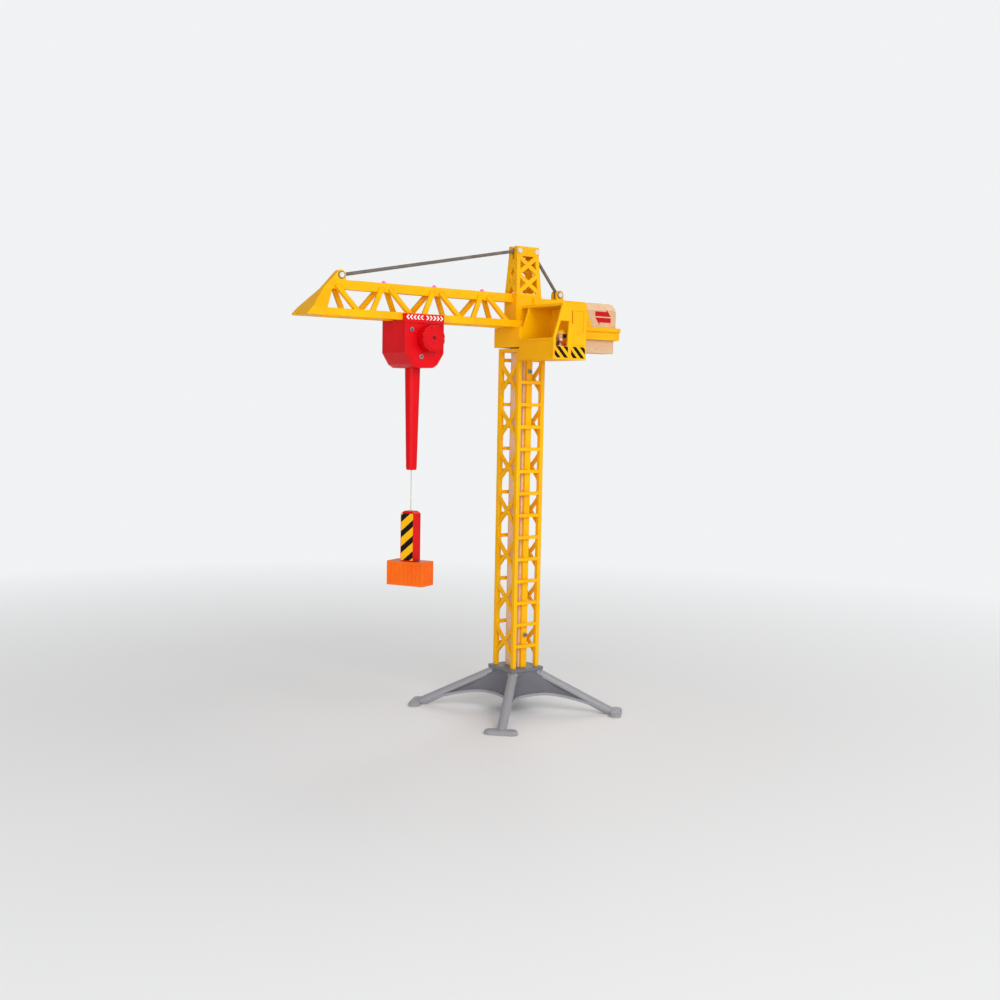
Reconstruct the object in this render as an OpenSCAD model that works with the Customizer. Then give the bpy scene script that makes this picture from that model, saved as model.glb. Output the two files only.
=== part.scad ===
// Toy tower crane: splayed base, lattice mast on a wooden core, slewing head with
// cab, jib, lights and counterweight, and a trolley with a hand-turned magnet hoist.
// Millimetres, +Z up, floor at z = 0. The jib points along -X and the cab hangs on the -Y
// side. The origin is on the floor, below the middle of the crane's length. Each module
// measures from the mast axis, and placed() moves it to that origin.

/* [Base] */
// Distance of each foot's centre from the mast axis, along X and along Y
foot_reach = 86; // [78:1:94]
// Length of a foot pad, across its leg
foot_long = 38; // [30:1:44]
// Width of a foot pad, along its leg
foot_wide = 14; // [10:1:18]
// Thickness of a foot pad
foot_h = 5; // [4:0.5:7]
// Width of the square deck
deck_w = 47; // [45:1:52]
// Thickness of the deck plate
deck_t = 4; // [3:0.5:5]
// Height of the deck's top face
deck_top = 54; // [50:1:60]
// Width of the base box at its lower edge
skirt_w = 58; // [54:1:64]
// Height of the base box's lower edge
skirt_z = 21; // [18:1:24]
// Thickness of a leg's web
leg_t = 6.4; // [5:0.2:8]
// Diameter of the round rib along a leg
rib_d = 11; // [9:0.5:12]
// Radius of the arch under a leg
arch_r = 236; // [200:2:260]
// Width of the lip along the lower edge
lip_w = 1.4; // [1:0.2:2]

/* [Mast] */
// Width of the square mast
mast_w = 39; // [37:0.5:41]
// Width of a corner post
post_w = 5; // [4:0.5:6]
// Number of rungs on a ladder
rungs = 14; // [10:2:18]
// Height of a ladder rung
rung_h = 4; // [3:0.5:5]
// Width of a diagonal brace
brace_w = 4; // [3:0.5:5]
// Height of one crossed pair of braces
brace_h = 31; // [26:1:36]
// Size of the wooden core along X
core_x = 13; // [10:0.5:16]
// Size of the wooden core along Y
core_y = 24; // [20:0.5:24]
// Width of the spine strip behind the rungs
spine_w = 8; // [6:0.5:10]

/* [Head] */
// Size of the slewing housing along X
house_x = 46; // [44:1:48]
// Size of the slewing housing along Y
house_y = 48; // [44:1:52]
// Radius of the slewing spindle
spindle_r = 9; // [8:0.5:10]
// Wall thickness of the moulded shells
wall = 2.2; // [1.8:0.1:2.6]
// Size of the tower's foot along X
tower_x = 37; // [34:1:38]
// Size of the tower's foot along Y
tower_y = 23; // [21:1:24]
// Height of the crane
crane_h = 550; // [500:5:600]
// Height of the head above the mast
head_h = 118.5; // [112:0.5:126]
// Radius of a tie rod
tie_r = 1.9; // [1.5:0.1:2.2]

/* [Cab] */
// Distance of the cab's outer wall from the mast axis
cab_out = 86; // [78:1:90]
// Drop of the cab's floor below the slewing housing
cab_drop = 15; // [11:1:19]
// Height of the front sill above the floor
sill_up = 24; // [20:1:28]
// Height of the cab's walls
cab_h = 60; // [56:1:64]
// Rear face of the cab
cab_back = 25; // [23:1:27]
// Set-back of the front pillar's top
pillar_back = 12; // [8:1:16]

/* [Jib] */
// Reach of the jib's nose from the mast axis
jib_reach = 295; // [285:1:305]
// Length of the jib's nose
nose_l = 37; // [32:1:42]
// Distance of each lower chord's middle from the jib's middle
chord_y = 15; // [14:0.5:16]
// Width of a lower chord
chord_w = 5; // [4:0.5:6]
// Height of a lower chord
chord_h = 8; // [7:0.5:9]
// Width of the upper chord
top_w = 8; // [7:0.5:10]
// Height of the upper chord
top_h = 10; // [8:0.5:11]
// Radius of a jib light
light_r = 2.4; // [2:0.1:3]

/* [Trolley] */
// Distance of the trolley from the mast axis
trolley_x = 153.5; // [140:0.5:170]
// Length of the trolley along the jib
trolley_l = 50.5; // [46:0.5:56]
// Width of the trolley across the jib
trolley_w = 47; // [45:0.5:50]
// Height of the trolley's shells
trolley_h = 50.6; // [46:0.2:56]
// Height of the trolley's shoulders above its lowest face
shoulder_up = 16; // [12:1:20]
// Diameter of the winch knob
knob_d = 29; // [24:0.5:31]
// Distance from the winch's axis to the hoist cord
cord_arm = 5.5; // [5:0.1:6]
// Length of the tube below the trolley
tube_l = 113; // [100:1:125]
// Diameter of the hoist cord
cord_d = 1; // [0.8:0.1:1.2]

/* [Hook and load] */
// Width of the square magnet casing
magnet_w = 16.3; // [14:0.1:18]
// Length of cord between the tube and the magnet casing
cord_show = 46; // [40:1:60]
// Height of the magnet casing
magnet_h = 56; // [50:1:60]
// Turn of the hanging pieces about the cord
hang_turn = 27; // [0:1:45]
// Length of the load
load_l = 46; // [40:1:50]
// Width of the load
load_w = 25; // [22:1:28]
// Height of the load
load_h = 27; // [24:1:30]

/* [Counterweight] */
// Length of the block along the rails
weight_l = 57; // [52:1:59]
// Reach of the block below the rails
weight_down = 16; // [12:1:20]
// Reach of the block above the rails
weight_up = 29; // [24:1:32]
// End of the counter-jib's rails
rail_end = 140.5; // [139:0.5:145]
// Travel of the block towards the mast
weight_run = 10; // [5:1:12]

/* [Fits] */
// Gap between pieces that move past each other
gap = 0.4; // [0.3:0.05:0.5]
// Radial clearance of a shaft in its bore
fit = 0.05; // [0.02:0.01:0.1]

/* [Hidden] */
$fn = 48;

yellow = [1, 0.74, 0.02];
grey = [0.45, 0.45, 0.48];
red = [0.85, 0.04, 0.08];
wood = [0.86, 0.67, 0.46];
steel = [0.7, 0.7, 0.72];
far = 600;
shave = 0.03;

origin_x = (jib_reach - rail_end) / 2;

// Base
foot_r = foot_reach * sqrt(2);
plate_z = deck_top - deck_t;
foot_bevel = 1.6;
leg_root = 16;
leg_top_r = deck_w * 0.66;
rib_z = plate_z - rib_d * 0.55;
arch_in = 20;
box_top_w = deck_w - 2;
box_lean = (skirt_w - box_top_w) / 2 / (plate_z - skirt_z);
flare_bend = acos(sqrt(0.5 / (1 + box_lean * box_lean)));
flare_tilt = atan(sqrt(2) * box_lean);
flare_w = box_top_w * 0.34;
flare_reach = (flare_w - leg_t / 2) / sin(flare_bend);
flare_arc = flare_reach / tan(flare_bend / 2);
flare_top = box_top_w * sqrt(0.5) - leg_t / 2 + flare_reach / cos(flare_tilt);
flare_low = flare_top + plate_z * tan(flare_tilt);
lip_h = 3;
base_plate = 3;
base_wall = 2.5;
base_screw_at = 12;
base_screw_r = 1.4;
base_head_r = 2.8;
base_head_t = 1.8;
base_bite = deck_t - 1;

// Mast
half = mast_w / 2;
inside = half - post_w;
cap_t = 4;
mast_top = crane_h - head_h;
post_top = mast_top - cap_t;
rung_clear = 8.8;
rung_top = post_top - rung_clear;
rung_pitch = (rung_top - deck_top) / rungs;
rung_back = inside + 1;
brace_t = 3;
brace_in = 0.5;
brace_up = 5;
brace_round = 14;
brace_lean = atan2(brace_h / 2, inside + 1);
crosses = floor(rungs / 2);
mast_corner = half * sqrt(2);
mast_screw_z = [rung_top - rung_pitch / 2, deck_top + rung_pitch * 1.5];
mast_screw_r = 1.3;
mast_head_r = 2.6;
mast_head_t = 1.6;
mast_bite = 6;

// Head
spindle_neck = 5;
spindle_flange = 14;
flange_t = 1.1;
house_low = mast_top + flange_t + gap;
bore_floor = 3;
boss_r = spindle_r + 4;
boss_h = 13.6;
boss_top = house_low + boss_h;
spindle_top = boss_top + gap;
washer_r = boss_r - 0.5;
washer_t = 1.2;
slew_screw_r = 1.6;
slew_head_r = 4;
slew_head_t = 2.2;
slew_bite = 24;
house_h = 20.5;
house_top = house_low + house_h;
lid_t = 2.5;
head_top = house_top + lid_t;
tower_foot = 36;
tower_z = head_top + tower_foot;
cap_h = 11;
cap_low = crane_h - cap_h;
cap_x = tower_x - 5;
cap_y = tower_y - 7;
pin_r = 1.5;
pin_head = 3;
pin_head_t = 1.4;
eye_r = 3.4;
eye_slot = tie_r + 0.5;
lug_r = 5.5;
tie_z = crane_h - 5;
tie_in = cap_x / 2 - 3.5;
tower_leg = 5;
tower_t = 3;
tower_brace = 5.2;
tower_rail = 4;
switch_z = house_low + 12;
switch_run = 4;
switch_half = 2.5;
switch_t = 1.6;
switch_plate = [6.5, 3.5];
switch_out = 2.4;

// Jib
chord_z = head_top;
chord_top = chord_z + chord_h;
chord_out = chord_y + chord_w / 2;
top_z = tower_z + 3;
top_low = top_z - top_h;
light_x = -60;
light_deep = 5.4;
light_proud = 0.6;
tip_x = nose_l - jib_reach;
bay = (light_x - tip_x) / 3;
tip_pin = [tip_x + 2 * lug_r, top_z + 5];
nose_x = tip_x - 13;
nose_tip = [-jib_reach, chord_z + 1];
to_pin = tip_pin - nose_tip;
nose_rise = atan2(to_pin[1], to_pin[0]) + asin(lug_r / norm(to_pin));
nose_run = sqrt(to_pin * to_pin - lug_r * lug_r);
nose_touch = nose_tip + nose_run * [cos(nose_rise), sin(nose_rise)];
nose_top = nose_tip[1] + (tip_x - nose_tip[0]) * tan(nose_rise);
ledge = 3.5;
ledge_t = 2;
strut_foot = 24;
strut_head = 5;
strut_w = 5.4;
strut_t = 3.6;
strut_up = 4;
channel = 1.8;
channel_roof = 4;
channel_past = 10;
wire_r = 0.7;
wire_y = 0.9;
wire_z = top_z - light_deep - wire_r - 0.1;
wire_down = -12;
wire_low = house_top - 1.5;
wire_hole = channel;

// Counter-jib
frame_in = tower_y / 2;
frame_t = 3;
frame_out = frame_in + frame_t;
frame_root = tower_x / 2 - 13;
rail_up = 14;
rail_h = 15;
rail_low = house_low + rail_up;
rail_top = rail_low + rail_h;
rail_lip = [2, 5];
beam_drop = 1;
beam_h = 9;
beam_top = tower_z - beam_drop;
beam_low = beam_top - beam_h;
beam_bend = [74, 83];
beam_foot = [86, 96];
bridge_half = 6;
bridge_lug = 5;
lug_x = 52;
lug_z = tower_z + 6;
stop_t = 3;
weight_play = 0.5;
weight_h = frame_in - weight_play;
weight_out = rail_end - stop_t - weight_play;
weight_in = weight_out - weight_l;
weight_low = rail_low - weight_down;
weight_top = rail_top + weight_up;
weight_round = 12;
weight_foot = [4, 3];
rib_low = rail_low + 5;
rib_h = 3.2;
rib_y = frame_in - 2.2;
cell_r = 5.8;
cell_t = 5.4;
cells = 3;
cell_play = 0.3;
box_in = house_x / 2;
box_out = weight_in - weight_run - 1;
box_top = beam_low - 2;
cell_in = box_in + 12;
cover_t = 2;
cover_screw = box_out - 8;
cover_screw_r = 1.2;
cover_head_r = 2.4;
cover_head_t = 1.4;
cover_bite = 5;

// Trolley
tx = -trolley_x;
trolley_top = chord_z - gap;
trolley_low = trolley_top - trolley_h;
shoulder_z = trolley_low + shoulder_up;
strip_top = chord_top - 1;
strip_in = chord_out + gap;
rim_t = 1;
rim_w = 2.6;
face_y = trolley_w / 2 - rim_t;
trolley_foot = [17, 11];
trolley_toe = 3.5;
winch_drop = 18.6;
winch = [tx + cord_arm, trolley_top - winch_drop];
shaft_r = 3.5;
drum_half = 12;
drum_wall = 2;
wound_r = cord_arm - cord_d / 2 - 0.3;
drum_core = wound_r - cord_d;
flange_r = 9;
drum_end = face_y - 0.8 - gap;
bearing_r = 6;
knob_back = trolley_w / 2 + gap;
knob_front = knob_back + 9.6;
knob_crown = [0.8, 2.5];
knob_seat = 4;
grip_r = 1.4;
winch_screw_r = 1.2;
winch_head = [2.4, 1.6];
tube_top_r = 8.5;
tube_low_r = 6;
tube_wall = 2;
tube_low = trolley_low - tube_l;
tube_seat = trolley_low + wall;
tube_collar = [2.5, 2];
runner_in = chord_y - chord_w / 2 - gap;
runner_z = chord_z + ledge_t + gap;
runner_t = 2.6;
neck_y = runner_in - ledge;
neck_x = 20;
neck_low = trolley_top - wall - runner_t;
neck_lip = 3;
shell_screw_in = [9.6, 12];
shell_screws = [[-16, trolley_top - shell_screw_in[0]], [-3.4, trolley_low + shell_screw_in[1]]];
shell_screw_r = 1.3;
shell_head = [2.5, 1.6];
boss = 2.4;
shell_bite = 11;

// Hook and load
magnet_top = tube_low - cord_show;
magnet_low = magnet_top - magnet_h;
magnet_r = magnet_w / 2 - wall;
magnet_deep = 6;
magnet_crown = [5, 3];
cord_low = magnet_top - 8;
load_top = magnet_low - gap;
load_wall = 2;
load_band = 3;
load_proud = 0.8;
load_rib = [1.2, 2.6];
load_pitch = 5.4;
load_post = 3;
load_lid = 4;
plate_x = load_w / 2 - 4.5;
plate_y = load_l / 2 - 7;
plate_t = 1.2;

// Cab
cab_front = -house_x / 2;
cab_in = -house_y / 2;
cab_floor = house_low - cab_drop;
cab_sill = cab_floor + sill_up;
cab_roof_z = cab_floor + cab_h;
floor_t = 2.5;
roof_t = 3;
sill_h = 2.4;
sill_out = 0.8;
window_drop = 9;
window_head = 17;
window_low = cab_sill - window_drop;
window_top = cab_roof_z - window_head;
window_edge = 3.5;
window_back = [-2.5, -0.5];
slit = [3, 4.8];
pane_edge = 5;
slit_z = [window_top - 3, cab_roof_z - pane_edge];
pane_x = [8, 21];
pane_z = [window_top - 12, cab_roof_z - pane_edge];
panel_x = [5.6, 23.5];
panel_z = [window_low + 1.5, window_top - 14.5];
relief = 0.8;

// Driver
driver = [0, -cab_out + 15, cab_floor + floor_t];
body_h = 19.5;
arm_r = 1.9;
hand_r = 2.1;
shoulder = [5.5, 16];
head_r = 5.8;
head_z = 25;
helmet_z = head_z + 1.5;
helmet_r = 6.9;
brim = [7.6, 1];
ear_r = 2.2;
ear_out = 7.6;

// Moves a piece from the mast axis to the model's origin
module placed() {
  translate([origin_x, 0, 0]) children();
}

// A box from its lowest to its highest corner
module span(lo, hi) {
  translate(lo) cube(hi - lo);
}

// A rounded web in the corner p of two edges that leave it along a and b
module corner_web(p, a, b, r) {
  turn = acos(a * b) / 2;
  reach = r / tan(turn);
  middle = (a + b) / norm(a + b);
  difference() {
    polygon([p - middle, p + a * reach, p + b * reach]);
    translate(p + middle * r / sin(turn)) circle(r + shave, $fn = 96);
  }
}

// A straight flat bar between two points of an outline
module bar(p, q, w) {
  translate(p) rotate(atan2(q[1] - p[1], q[0] - p[0])) translate([0, -w / 2]) square([norm(q - p), w]);
}

// A round rod between two points
module rod(p, q, r) {
  d = q - p;
  translate(p) rotate([0, acos(d[2] / norm(d)), atan2(d[1], d[0])]) cylinder(h = norm(d), r = r);
}

// A disc or shaft along Y
module across(x, z, y0, y1, r) {
  translate([x, y0, z]) rotate([-90, 0, 0]) cylinder(h = y1 - y0, r = r);
}

// An XZ outline given thickness along Y
module slab_y(y0, y1) {
  translate([0, y1, 0]) rotate([90, 0, 0]) linear_extrude(y1 - y0) children();
}

// A YZ outline given thickness along X
module slab_x(x0, x1) {
  translate([x0, 0, 0]) rotate([90, 0, 90]) linear_extrude(x1 - x0) children();
}

// A square block whose sides slope from width w0 at z0 to w1 at z1
module sloped_box(w0, w1, z0, z1) {
  intersection_for(a = [0, 90])
    rotate(a) slab_y(-w0, w0)
      polygon([[-w0 / 2, z0], [w0 / 2, z0], [w1 / 2, z1], [-w1 / 2, z1]]);
}

// Side view of a leg's web, between the arch and a line h above it or the rib
module leg_side(h) {
  difference() {
    intersection() {
      polygon([[leg_root, 0], [leg_root, plate_z], [leg_top_r, rib_z], [foot_r, 0]]);
      translate([arch_in, skirt_z - arch_r]) circle(arch_r + h, $fn = 192);
    }
    translate([arch_in, skirt_z - arch_r]) circle(arch_r, $fn = 192);
  }
}

// Web of one leg, along +X, with a rounded flare to the base box's sloping sides
module web(grow, h) {
  slab_y(-leg_t / 2 - grow, leg_t / 2 + grow) leg_side(h);
  difference() {
    slab_y(-flare_w, flare_w) intersection() {
      leg_side(h);
      polygon([[leg_root, 0], [flare_low, 0], [flare_top, plate_z], [leg_root, plate_z]]);
    }
    for (s = [-1, 1])
      translate([flare_top, s * (leg_t / 2 + flare_arc), plate_z]) rotate([0, -flare_tilt, 0])
        cylinder(h = far, r = flare_arc - grow + shave, center = true);
  }
}

// One leg, along +X
module leg() {
  web(0, far);
  web(lip_w, lip_h);
  rod([leg_top_r, 0, rib_z], [foot_r, 0, 0], rib_d / 2);
  translate([leg_top_r, 0, rib_z]) sphere(rib_d / 2);
  translate([foot_r, 0, 0]) foot();
}

// Foot pad with round ends and a bevelled top
module foot() {
  side = (foot_long - foot_wide) / 2;
  w = foot_wide / 2;
  h = foot_h - foot_bevel;
  slab_y(-side, side)
    polygon([[-w, 0], [w, 0], [w, h], [w - foot_bevel, foot_h], [foot_bevel - w, foot_h], [-w, h]]);
  for (s = [-1, 1])
    translate([0, s * side, 0]) {
      cylinder(h = h, r = w);
      translate([0, 0, h]) cylinder(h = foot_bevel, r1 = w, r2 = w - foot_bevel);
    }
}

// Hollow base box on four legs
module base_frame() color(grey) difference() {
  union() {
    sloped_box(skirt_w, box_top_w, skirt_z, plate_z);
    sloped_box(skirt_w + 2 * lip_w, skirt_w + 2 * lip_w, skirt_z, skirt_z + lip_h);
    intersection() {
      for (k = [0:3]) rotate(45 + 90 * k) leg();
      span([-far, -far, 0], [far, far, plate_z]);
    }
  }
  sloped_box(skirt_w - 2 * base_wall, box_top_w - 2 * base_wall, skirt_z - 1, plate_z - base_plate);
  base_screw_holes(base_screw_r + fit, plate_z - base_plate - 1, plate_z + 1);
}

module base_screw_holes(r, z0, z1) {
  for (x = [-1, 1], y = [-1, 1])
    translate([x * base_screw_at, y * base_screw_at, z0]) cylinder(h = z1 - z0, r = r);
}

module base_deck() color(grey) difference() {
  span([-deck_w / 2, -deck_w / 2, plate_z], [deck_w / 2, deck_w / 2, deck_top]);
  base_screw_holes(base_screw_r + fit, plate_z - 1, plate_z + base_bite);
}

module base_screws() color(steel) {
  base_screw_holes(base_screw_r, plate_z - base_plate - base_head_t, plate_z + base_bite - 0.2);
  base_screw_holes(base_head_r, plate_z - base_plate - base_head_t, plate_z - base_plate);
}

// Two corner posts with crossed braces between them, on the -X side
module mast_panel() {
  for (s = [0, 1])
    mirror([0, s, 0]) span([-half, -half, deck_top], [-inside, -inside, post_top]);
  slab_x(-half + brace_in, -half + brace_in + brace_t)
    for (i = [0:crosses - 1])
      translate([0, deck_top + rung_pitch * (1 + 2 * i) + brace_up])
        for (sy = [-1, 1], sz = [-1, 1]) {
          along = [sy * cos(brace_lean), sz * sin(brace_lean)];
          corner_z = inside * tan(brace_lean) + brace_w / 2 / cos(brace_lean);
          bar([0, 0], [sy * (inside + 1), sz * brace_h / 2], brace_w);
          corner_web([sy * inside, sz * corner_z], [0, sz], -along, brace_round);
        }
}

module mast_left_panel() color(yellow) mast_panel();
module mast_right_panel() color(yellow) mirror([1, 0, 0]) mast_panel();

// Rungs on a spine, on the -Y side
module ladder() difference() {
  union() {
    span([-spine_w / 2, -rung_back, deck_top], [spine_w / 2, -core_y / 2, post_top]);
    for (i = [1:rungs])
      translate([0, 0, deck_top + i * rung_pitch])
        span([-inside, -half, -rung_h / 2], [inside, -rung_back, rung_h / 2]);
  }
  for (z = mast_screw_z) across(0, z, -half, 0, mast_screw_r + fit);
}

module mast_front_ladder() color(yellow) ladder();
module mast_rear_ladder() color(yellow) mirror([0, 1, 0]) ladder();

module mast_core() color(wood) difference() {
  span([-core_x / 2, -core_y / 2, deck_top], [core_x / 2, core_y / 2, post_top]);
  for (z = mast_screw_z, s = [0, 1])
    mirror([0, s, 0]) across(0, z, -core_y, mast_bite - core_y / 2 + 1, mast_screw_r + fit);
  translate([0, 0, post_top - slew_bite - 1]) cylinder(h = slew_bite + 2, r = slew_screw_r + fit);
}

module mast_screws() color(steel)
  for (z = mast_screw_z, s = [0, 1])
    mirror([0, s, 0]) {
      across(0, z, -rung_back, mast_bite - core_y / 2, mast_screw_r);
      across(0, z, -rung_back - mast_head_t, -rung_back, mast_head_r);
    }

module mast_cap() color(yellow) difference() {
  span([-half, -half, post_top], [half, half, mast_top]);
  translate([0, 0, post_top - 1]) cylinder(h = cap_t + 2, r = spindle_neck + fit);
}

// Spindle with a neck in the cap and a flange that carries the head
module slew_spindle() color(grey) difference() {
  union() {
    translate([0, 0, post_top]) cylinder(h = cap_t, r = spindle_neck);
    translate([0, 0, mast_top]) cylinder(h = flange_t, r = spindle_flange);
    translate([0, 0, mast_top]) cylinder(h = spindle_top - mast_top, r = spindle_r);
  }
  translate([0, 0, post_top - 1]) cylinder(h = far, r = slew_screw_r + fit);
}

module slew_washer() color(steel) translate([0, 0, spindle_top]) difference() {
  cylinder(h = washer_t, r = washer_r);
  translate([0, 0, -1]) cylinder(h = washer_t + 2, r = slew_screw_r + fit);
}

module slew_screw() color(steel) {
  head_low = spindle_top + washer_t;
  translate([0, 0, post_top - slew_bite]) cylinder(h = head_low - post_top + slew_bite, r = slew_screw_r);
  translate([0, 0, head_low]) cylinder(h = slew_head_t, r = slew_head_r);
}

// Open-topped housing that turns on the spindle
module head_housing() color(yellow) difference() {
  union() {
    difference() {
      span([-house_x / 2, -house_y / 2, house_low], [house_x / 2, house_y / 2, house_top]);
      span([-house_x / 2 + wall, -house_y / 2 + wall, house_low + bore_floor],
        [house_x / 2 - wall, house_y / 2 - wall, house_top + 1]);
    }
    translate([0, 0, house_low]) cylinder(h = boss_top - house_low, r = boss_r);
  }
  translate([0, 0, house_low - 1]) cylinder(h = boss_top, r = spindle_r + fit);
  span([-switch_half - gap, house_y / 2 - wall - 1, switch_z - switch_t - gap],
    [switch_half + switch_run + gap, house_y / 2 + 1, switch_z + switch_t + gap]);
  wire_slot(house_x / 2 - wall - 1, house_x / 2 + 1);
}

// Slot for the wires from the housing to the battery box
module wire_slot(x0, x1) span([x0, -wire_hole, wire_low - wire_hole], [x1, wire_hole, house_top + 1]);

// Slide switch in the far wall of the housing
module light_switch() color([0.12, 0.12, 0.13]) {
  back = house_y / 2 - wall - gap;
  span([-switch_half, back, switch_z - switch_t],
    [switch_half, house_y / 2 + switch_out, switch_z + switch_t]);
  span([-switch_plate[0], back - switch_t, switch_z - switch_plate[1]],
    [switch_plate[0], back, switch_z + switch_plate[1]]);
}

module head_deck() color(yellow) difference() {
  span([-house_x / 2, -house_y / 2, house_top], [house_x / 2, house_y / 2, head_top]);
  translate([wire_down, 0, house_top - 1]) cylinder(h = 5, r = wire_hole);
}

module tower_base() color(yellow) difference() {
  span([-tower_x / 2, -tower_y / 2, head_top], [tower_x / 2, tower_y / 2, tower_z]);
  span([-tower_x / 2 + wall, -tower_y / 2 + wall, head_top - 1],
    [tower_x / 2 - wall, tower_y / 2 - wall, tower_z - wall]);
  translate([-tower_x / 2 - 1, 0, wire_z]) rotate([0, 90, 0]) cylinder(h = wall + 2, r = wire_hole);
}

// Outline of one tower face, narrowing from width b to width c, less a margin at each side
module tower_face(b, c, margin) {
  polygon([[-b / 2 + margin, tower_z], [b / 2 - margin, tower_z],
    [c / 2 - margin, cap_low], [-c / 2 + margin, cap_low]]);
}

// Two legs with crossed braces and a foot rail
module tower_lattice(b, c) {
  h = (cap_low - tower_z - tower_rail) / 2;
  difference() {
    tower_face(b, c, 0);
    tower_face(b, c, tower_leg);
  }
  intersection() {
    tower_face(b, c, 0);
    union() {
      translate([-b / 2, tower_z]) square([b, tower_rail]);
      for (i = [0, 1], s = [-1, 1]) {
        z = tower_z + tower_rail + i * h;
        bar([-s * (b / 2 - tower_leg / 2), z], [s * (c / 2 - tower_leg / 2), z + h], tower_brace);
      }
    }
  }
}

// Lattice tower top with a solid cap for the tie rods
module tower_top() color(yellow) difference() {
  union() {
    difference() {
      intersection() {
        slab_y(-tower_y, tower_y) tower_lattice(tower_x, cap_x);
        slab_x(-tower_x, tower_x) tower_face(tower_y, cap_y, 0);
      }
      slab_x(-tower_x, tower_x) tower_face(tower_y, cap_y, tower_t);
    }
    difference() {
      intersection() {
        slab_x(-tower_x, tower_x) tower_lattice(tower_y, cap_y);
        slab_y(-tower_y, tower_y) tower_face(tower_x, cap_x, 0);
      }
      slab_y(-tower_y, tower_y) tower_face(tower_x, cap_x, tower_t);
    }
    span([-cap_x / 2, -cap_y / 2, cap_low], [cap_x / 2, cap_y / 2, crane_h]);
  }
  for (s = [0, 1]) mirror([s, 0, 0]) {
    across(tie_in, tie_z, -far, far, pin_r + fit);
    span([tie_in - lug_r, -eye_slot, cap_low - 3], [tower_x, eye_slot, crane_h + 1]);
  }
}

// Pins of the two tie rods
module tie_pins() color([0.9, 0.88, 0.82]) {
  for (s = [-1, 1]) pin(s * tie_in, tie_z, cap_y / 2);
  pin(tip_pin[0], tip_pin[1], top_w / 2);
  pin(lug_x, lug_z, bridge_lug);
}

// A pin along Y with a flat head at each end
module pin(x, z, reach) {
  across(x, z, -reach, reach, pin_r);
  across(x, z, -reach - pin_head_t, -reach, pin_head);
  across(x, z, reach, reach + pin_head_t, pin_head);
}

// A rod with an eye at each end, in the middle plane
module tie_rod(p, q) difference() {
  union() {
    rod([p[0], 0, p[1]], [q[0], 0, q[1]], tie_r);
    across(p[0], p[1], -tie_r, tie_r, eye_r);
    across(q[0], q[1], -tie_r, tie_r, eye_r);
  }
  across(p[0], p[1], -far, far, pin_r + fit);
  across(q[0], q[1], -far, far, pin_r + fit);
}

module front_tie_rod() color([0.42, 0.38, 0.35]) tie_rod(tip_pin, [-tie_in, tie_z]);
module rear_tie_rod() color([0.42, 0.38, 0.35]) tie_rod([tie_in, tie_z], [lug_x, lug_z]);

// Side outline of the cab, with its front raked back above the sill
module cab_outline() {
  polygon([[cab_front, cab_floor], [cab_back, cab_floor], [cab_back, cab_roof_z],
    [cab_front + pillar_back, cab_roof_z], [cab_front, cab_sill]]);
}

// Cab floor, low front wall, rear wall and inner wall, cut round to clear the mast's corners
module cab_shell() color(yellow) difference() {
  y0 = -cab_out + wall;
  union() {
    span([cab_front, y0, cab_floor], [cab_back, cab_in, cab_floor + floor_t]);
    span([cab_front, y0, cab_floor], [cab_front + wall, cab_in, cab_sill]);
    span([cab_front - sill_out, y0, cab_sill - sill_h], [cab_front + wall + sill_out, cab_in, cab_sill]);
    span([cab_back - wall, y0, cab_floor], [cab_back, cab_in, cab_roof_z]);
    slab_y(cab_in - wall, cab_in) cab_outline();
  }
  translate([0, 0, cab_floor - 1])
    cylinder(h = house_low - cab_floor + 1 + gap, r = mast_corner + gap, $fn = 96);
}

// Outer side wall with a raked front pillar, a window and a door panel
module cab_side() color(yellow) {
  y0 = -cab_out;
  rake = pillar_back / (cab_roof_z - cab_sill);
  difference() {
    slab_y(y0, y0 + wall) cab_outline();
    slab_y(y0 - 1, y0 + wall + 1)
      polygon([[cab_front + window_edge, window_low], [window_back[0], window_low],
        [window_back[1], window_top],
        [cab_front + window_edge + rake * (window_top - cab_sill), window_top],
        [cab_front + window_edge, cab_sill]]);
    span([slit[0], y0 - 1, slit_z[0]], [slit[1], y0 + wall + 1, slit_z[1]]);
    span([pane_x[0], y0 - 1, pane_z[0]], [pane_x[1], y0 + relief, pane_z[1]]);
  }
  span([panel_x[0], y0 - relief, panel_z[0]], [panel_x[1], y0, panel_z[1]]);
}

module cab_roof() color(yellow)
  span([cab_front + pillar_back, -cab_out, cab_roof_z], [cab_back, -tower_y / 2, cab_roof_z + roof_t]);

// Standing figure, facing the jib
module driver_form() rotate_extrude()
  polygon([[0, 0], [6.6, 0], [6.8, 3], [6, 13], [4.6, 17.5], [3.2, body_h], [0, body_h]]);

module driver_body() color([1, 0.42, 0.05]) translate(driver) driver_form();

// One arm down on the controls, the other raised
module driver_arms() color([1, 0.42, 0.05]) translate(driver) difference() {
  union() {
    arm([0, shoulder[0], shoulder[1]], [-4.5, 8.6, 8]);
    arm([0, -shoulder[0], shoulder[1]], [-6.5, -7.6, 20]);
  }
  driver_form();
}

// An upper arm and its hand
module arm(p, q) {
  rod(p, q, arm_r);
  translate(q) sphere(hand_r);
}

module driver_head() color([0.95, 0.76, 0.6]) translate(driver) intersection() {
  translate([0, 0, head_z]) sphere(head_r);
  translate([-far / 2, -far / 2, body_h]) cube([far, far, helmet_z - body_h]);
}

module driver_helmet() color(yellow) translate(driver) translate([0, 0, helmet_z]) {
  intersection() {
    translate([0, 0, -1]) sphere(helmet_r);
    translate([-far / 2, -far / 2, 0]) cube([far, far, helmet_r]);
  }
  cylinder(h = brim[1], r = brim[0]);
}

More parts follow.
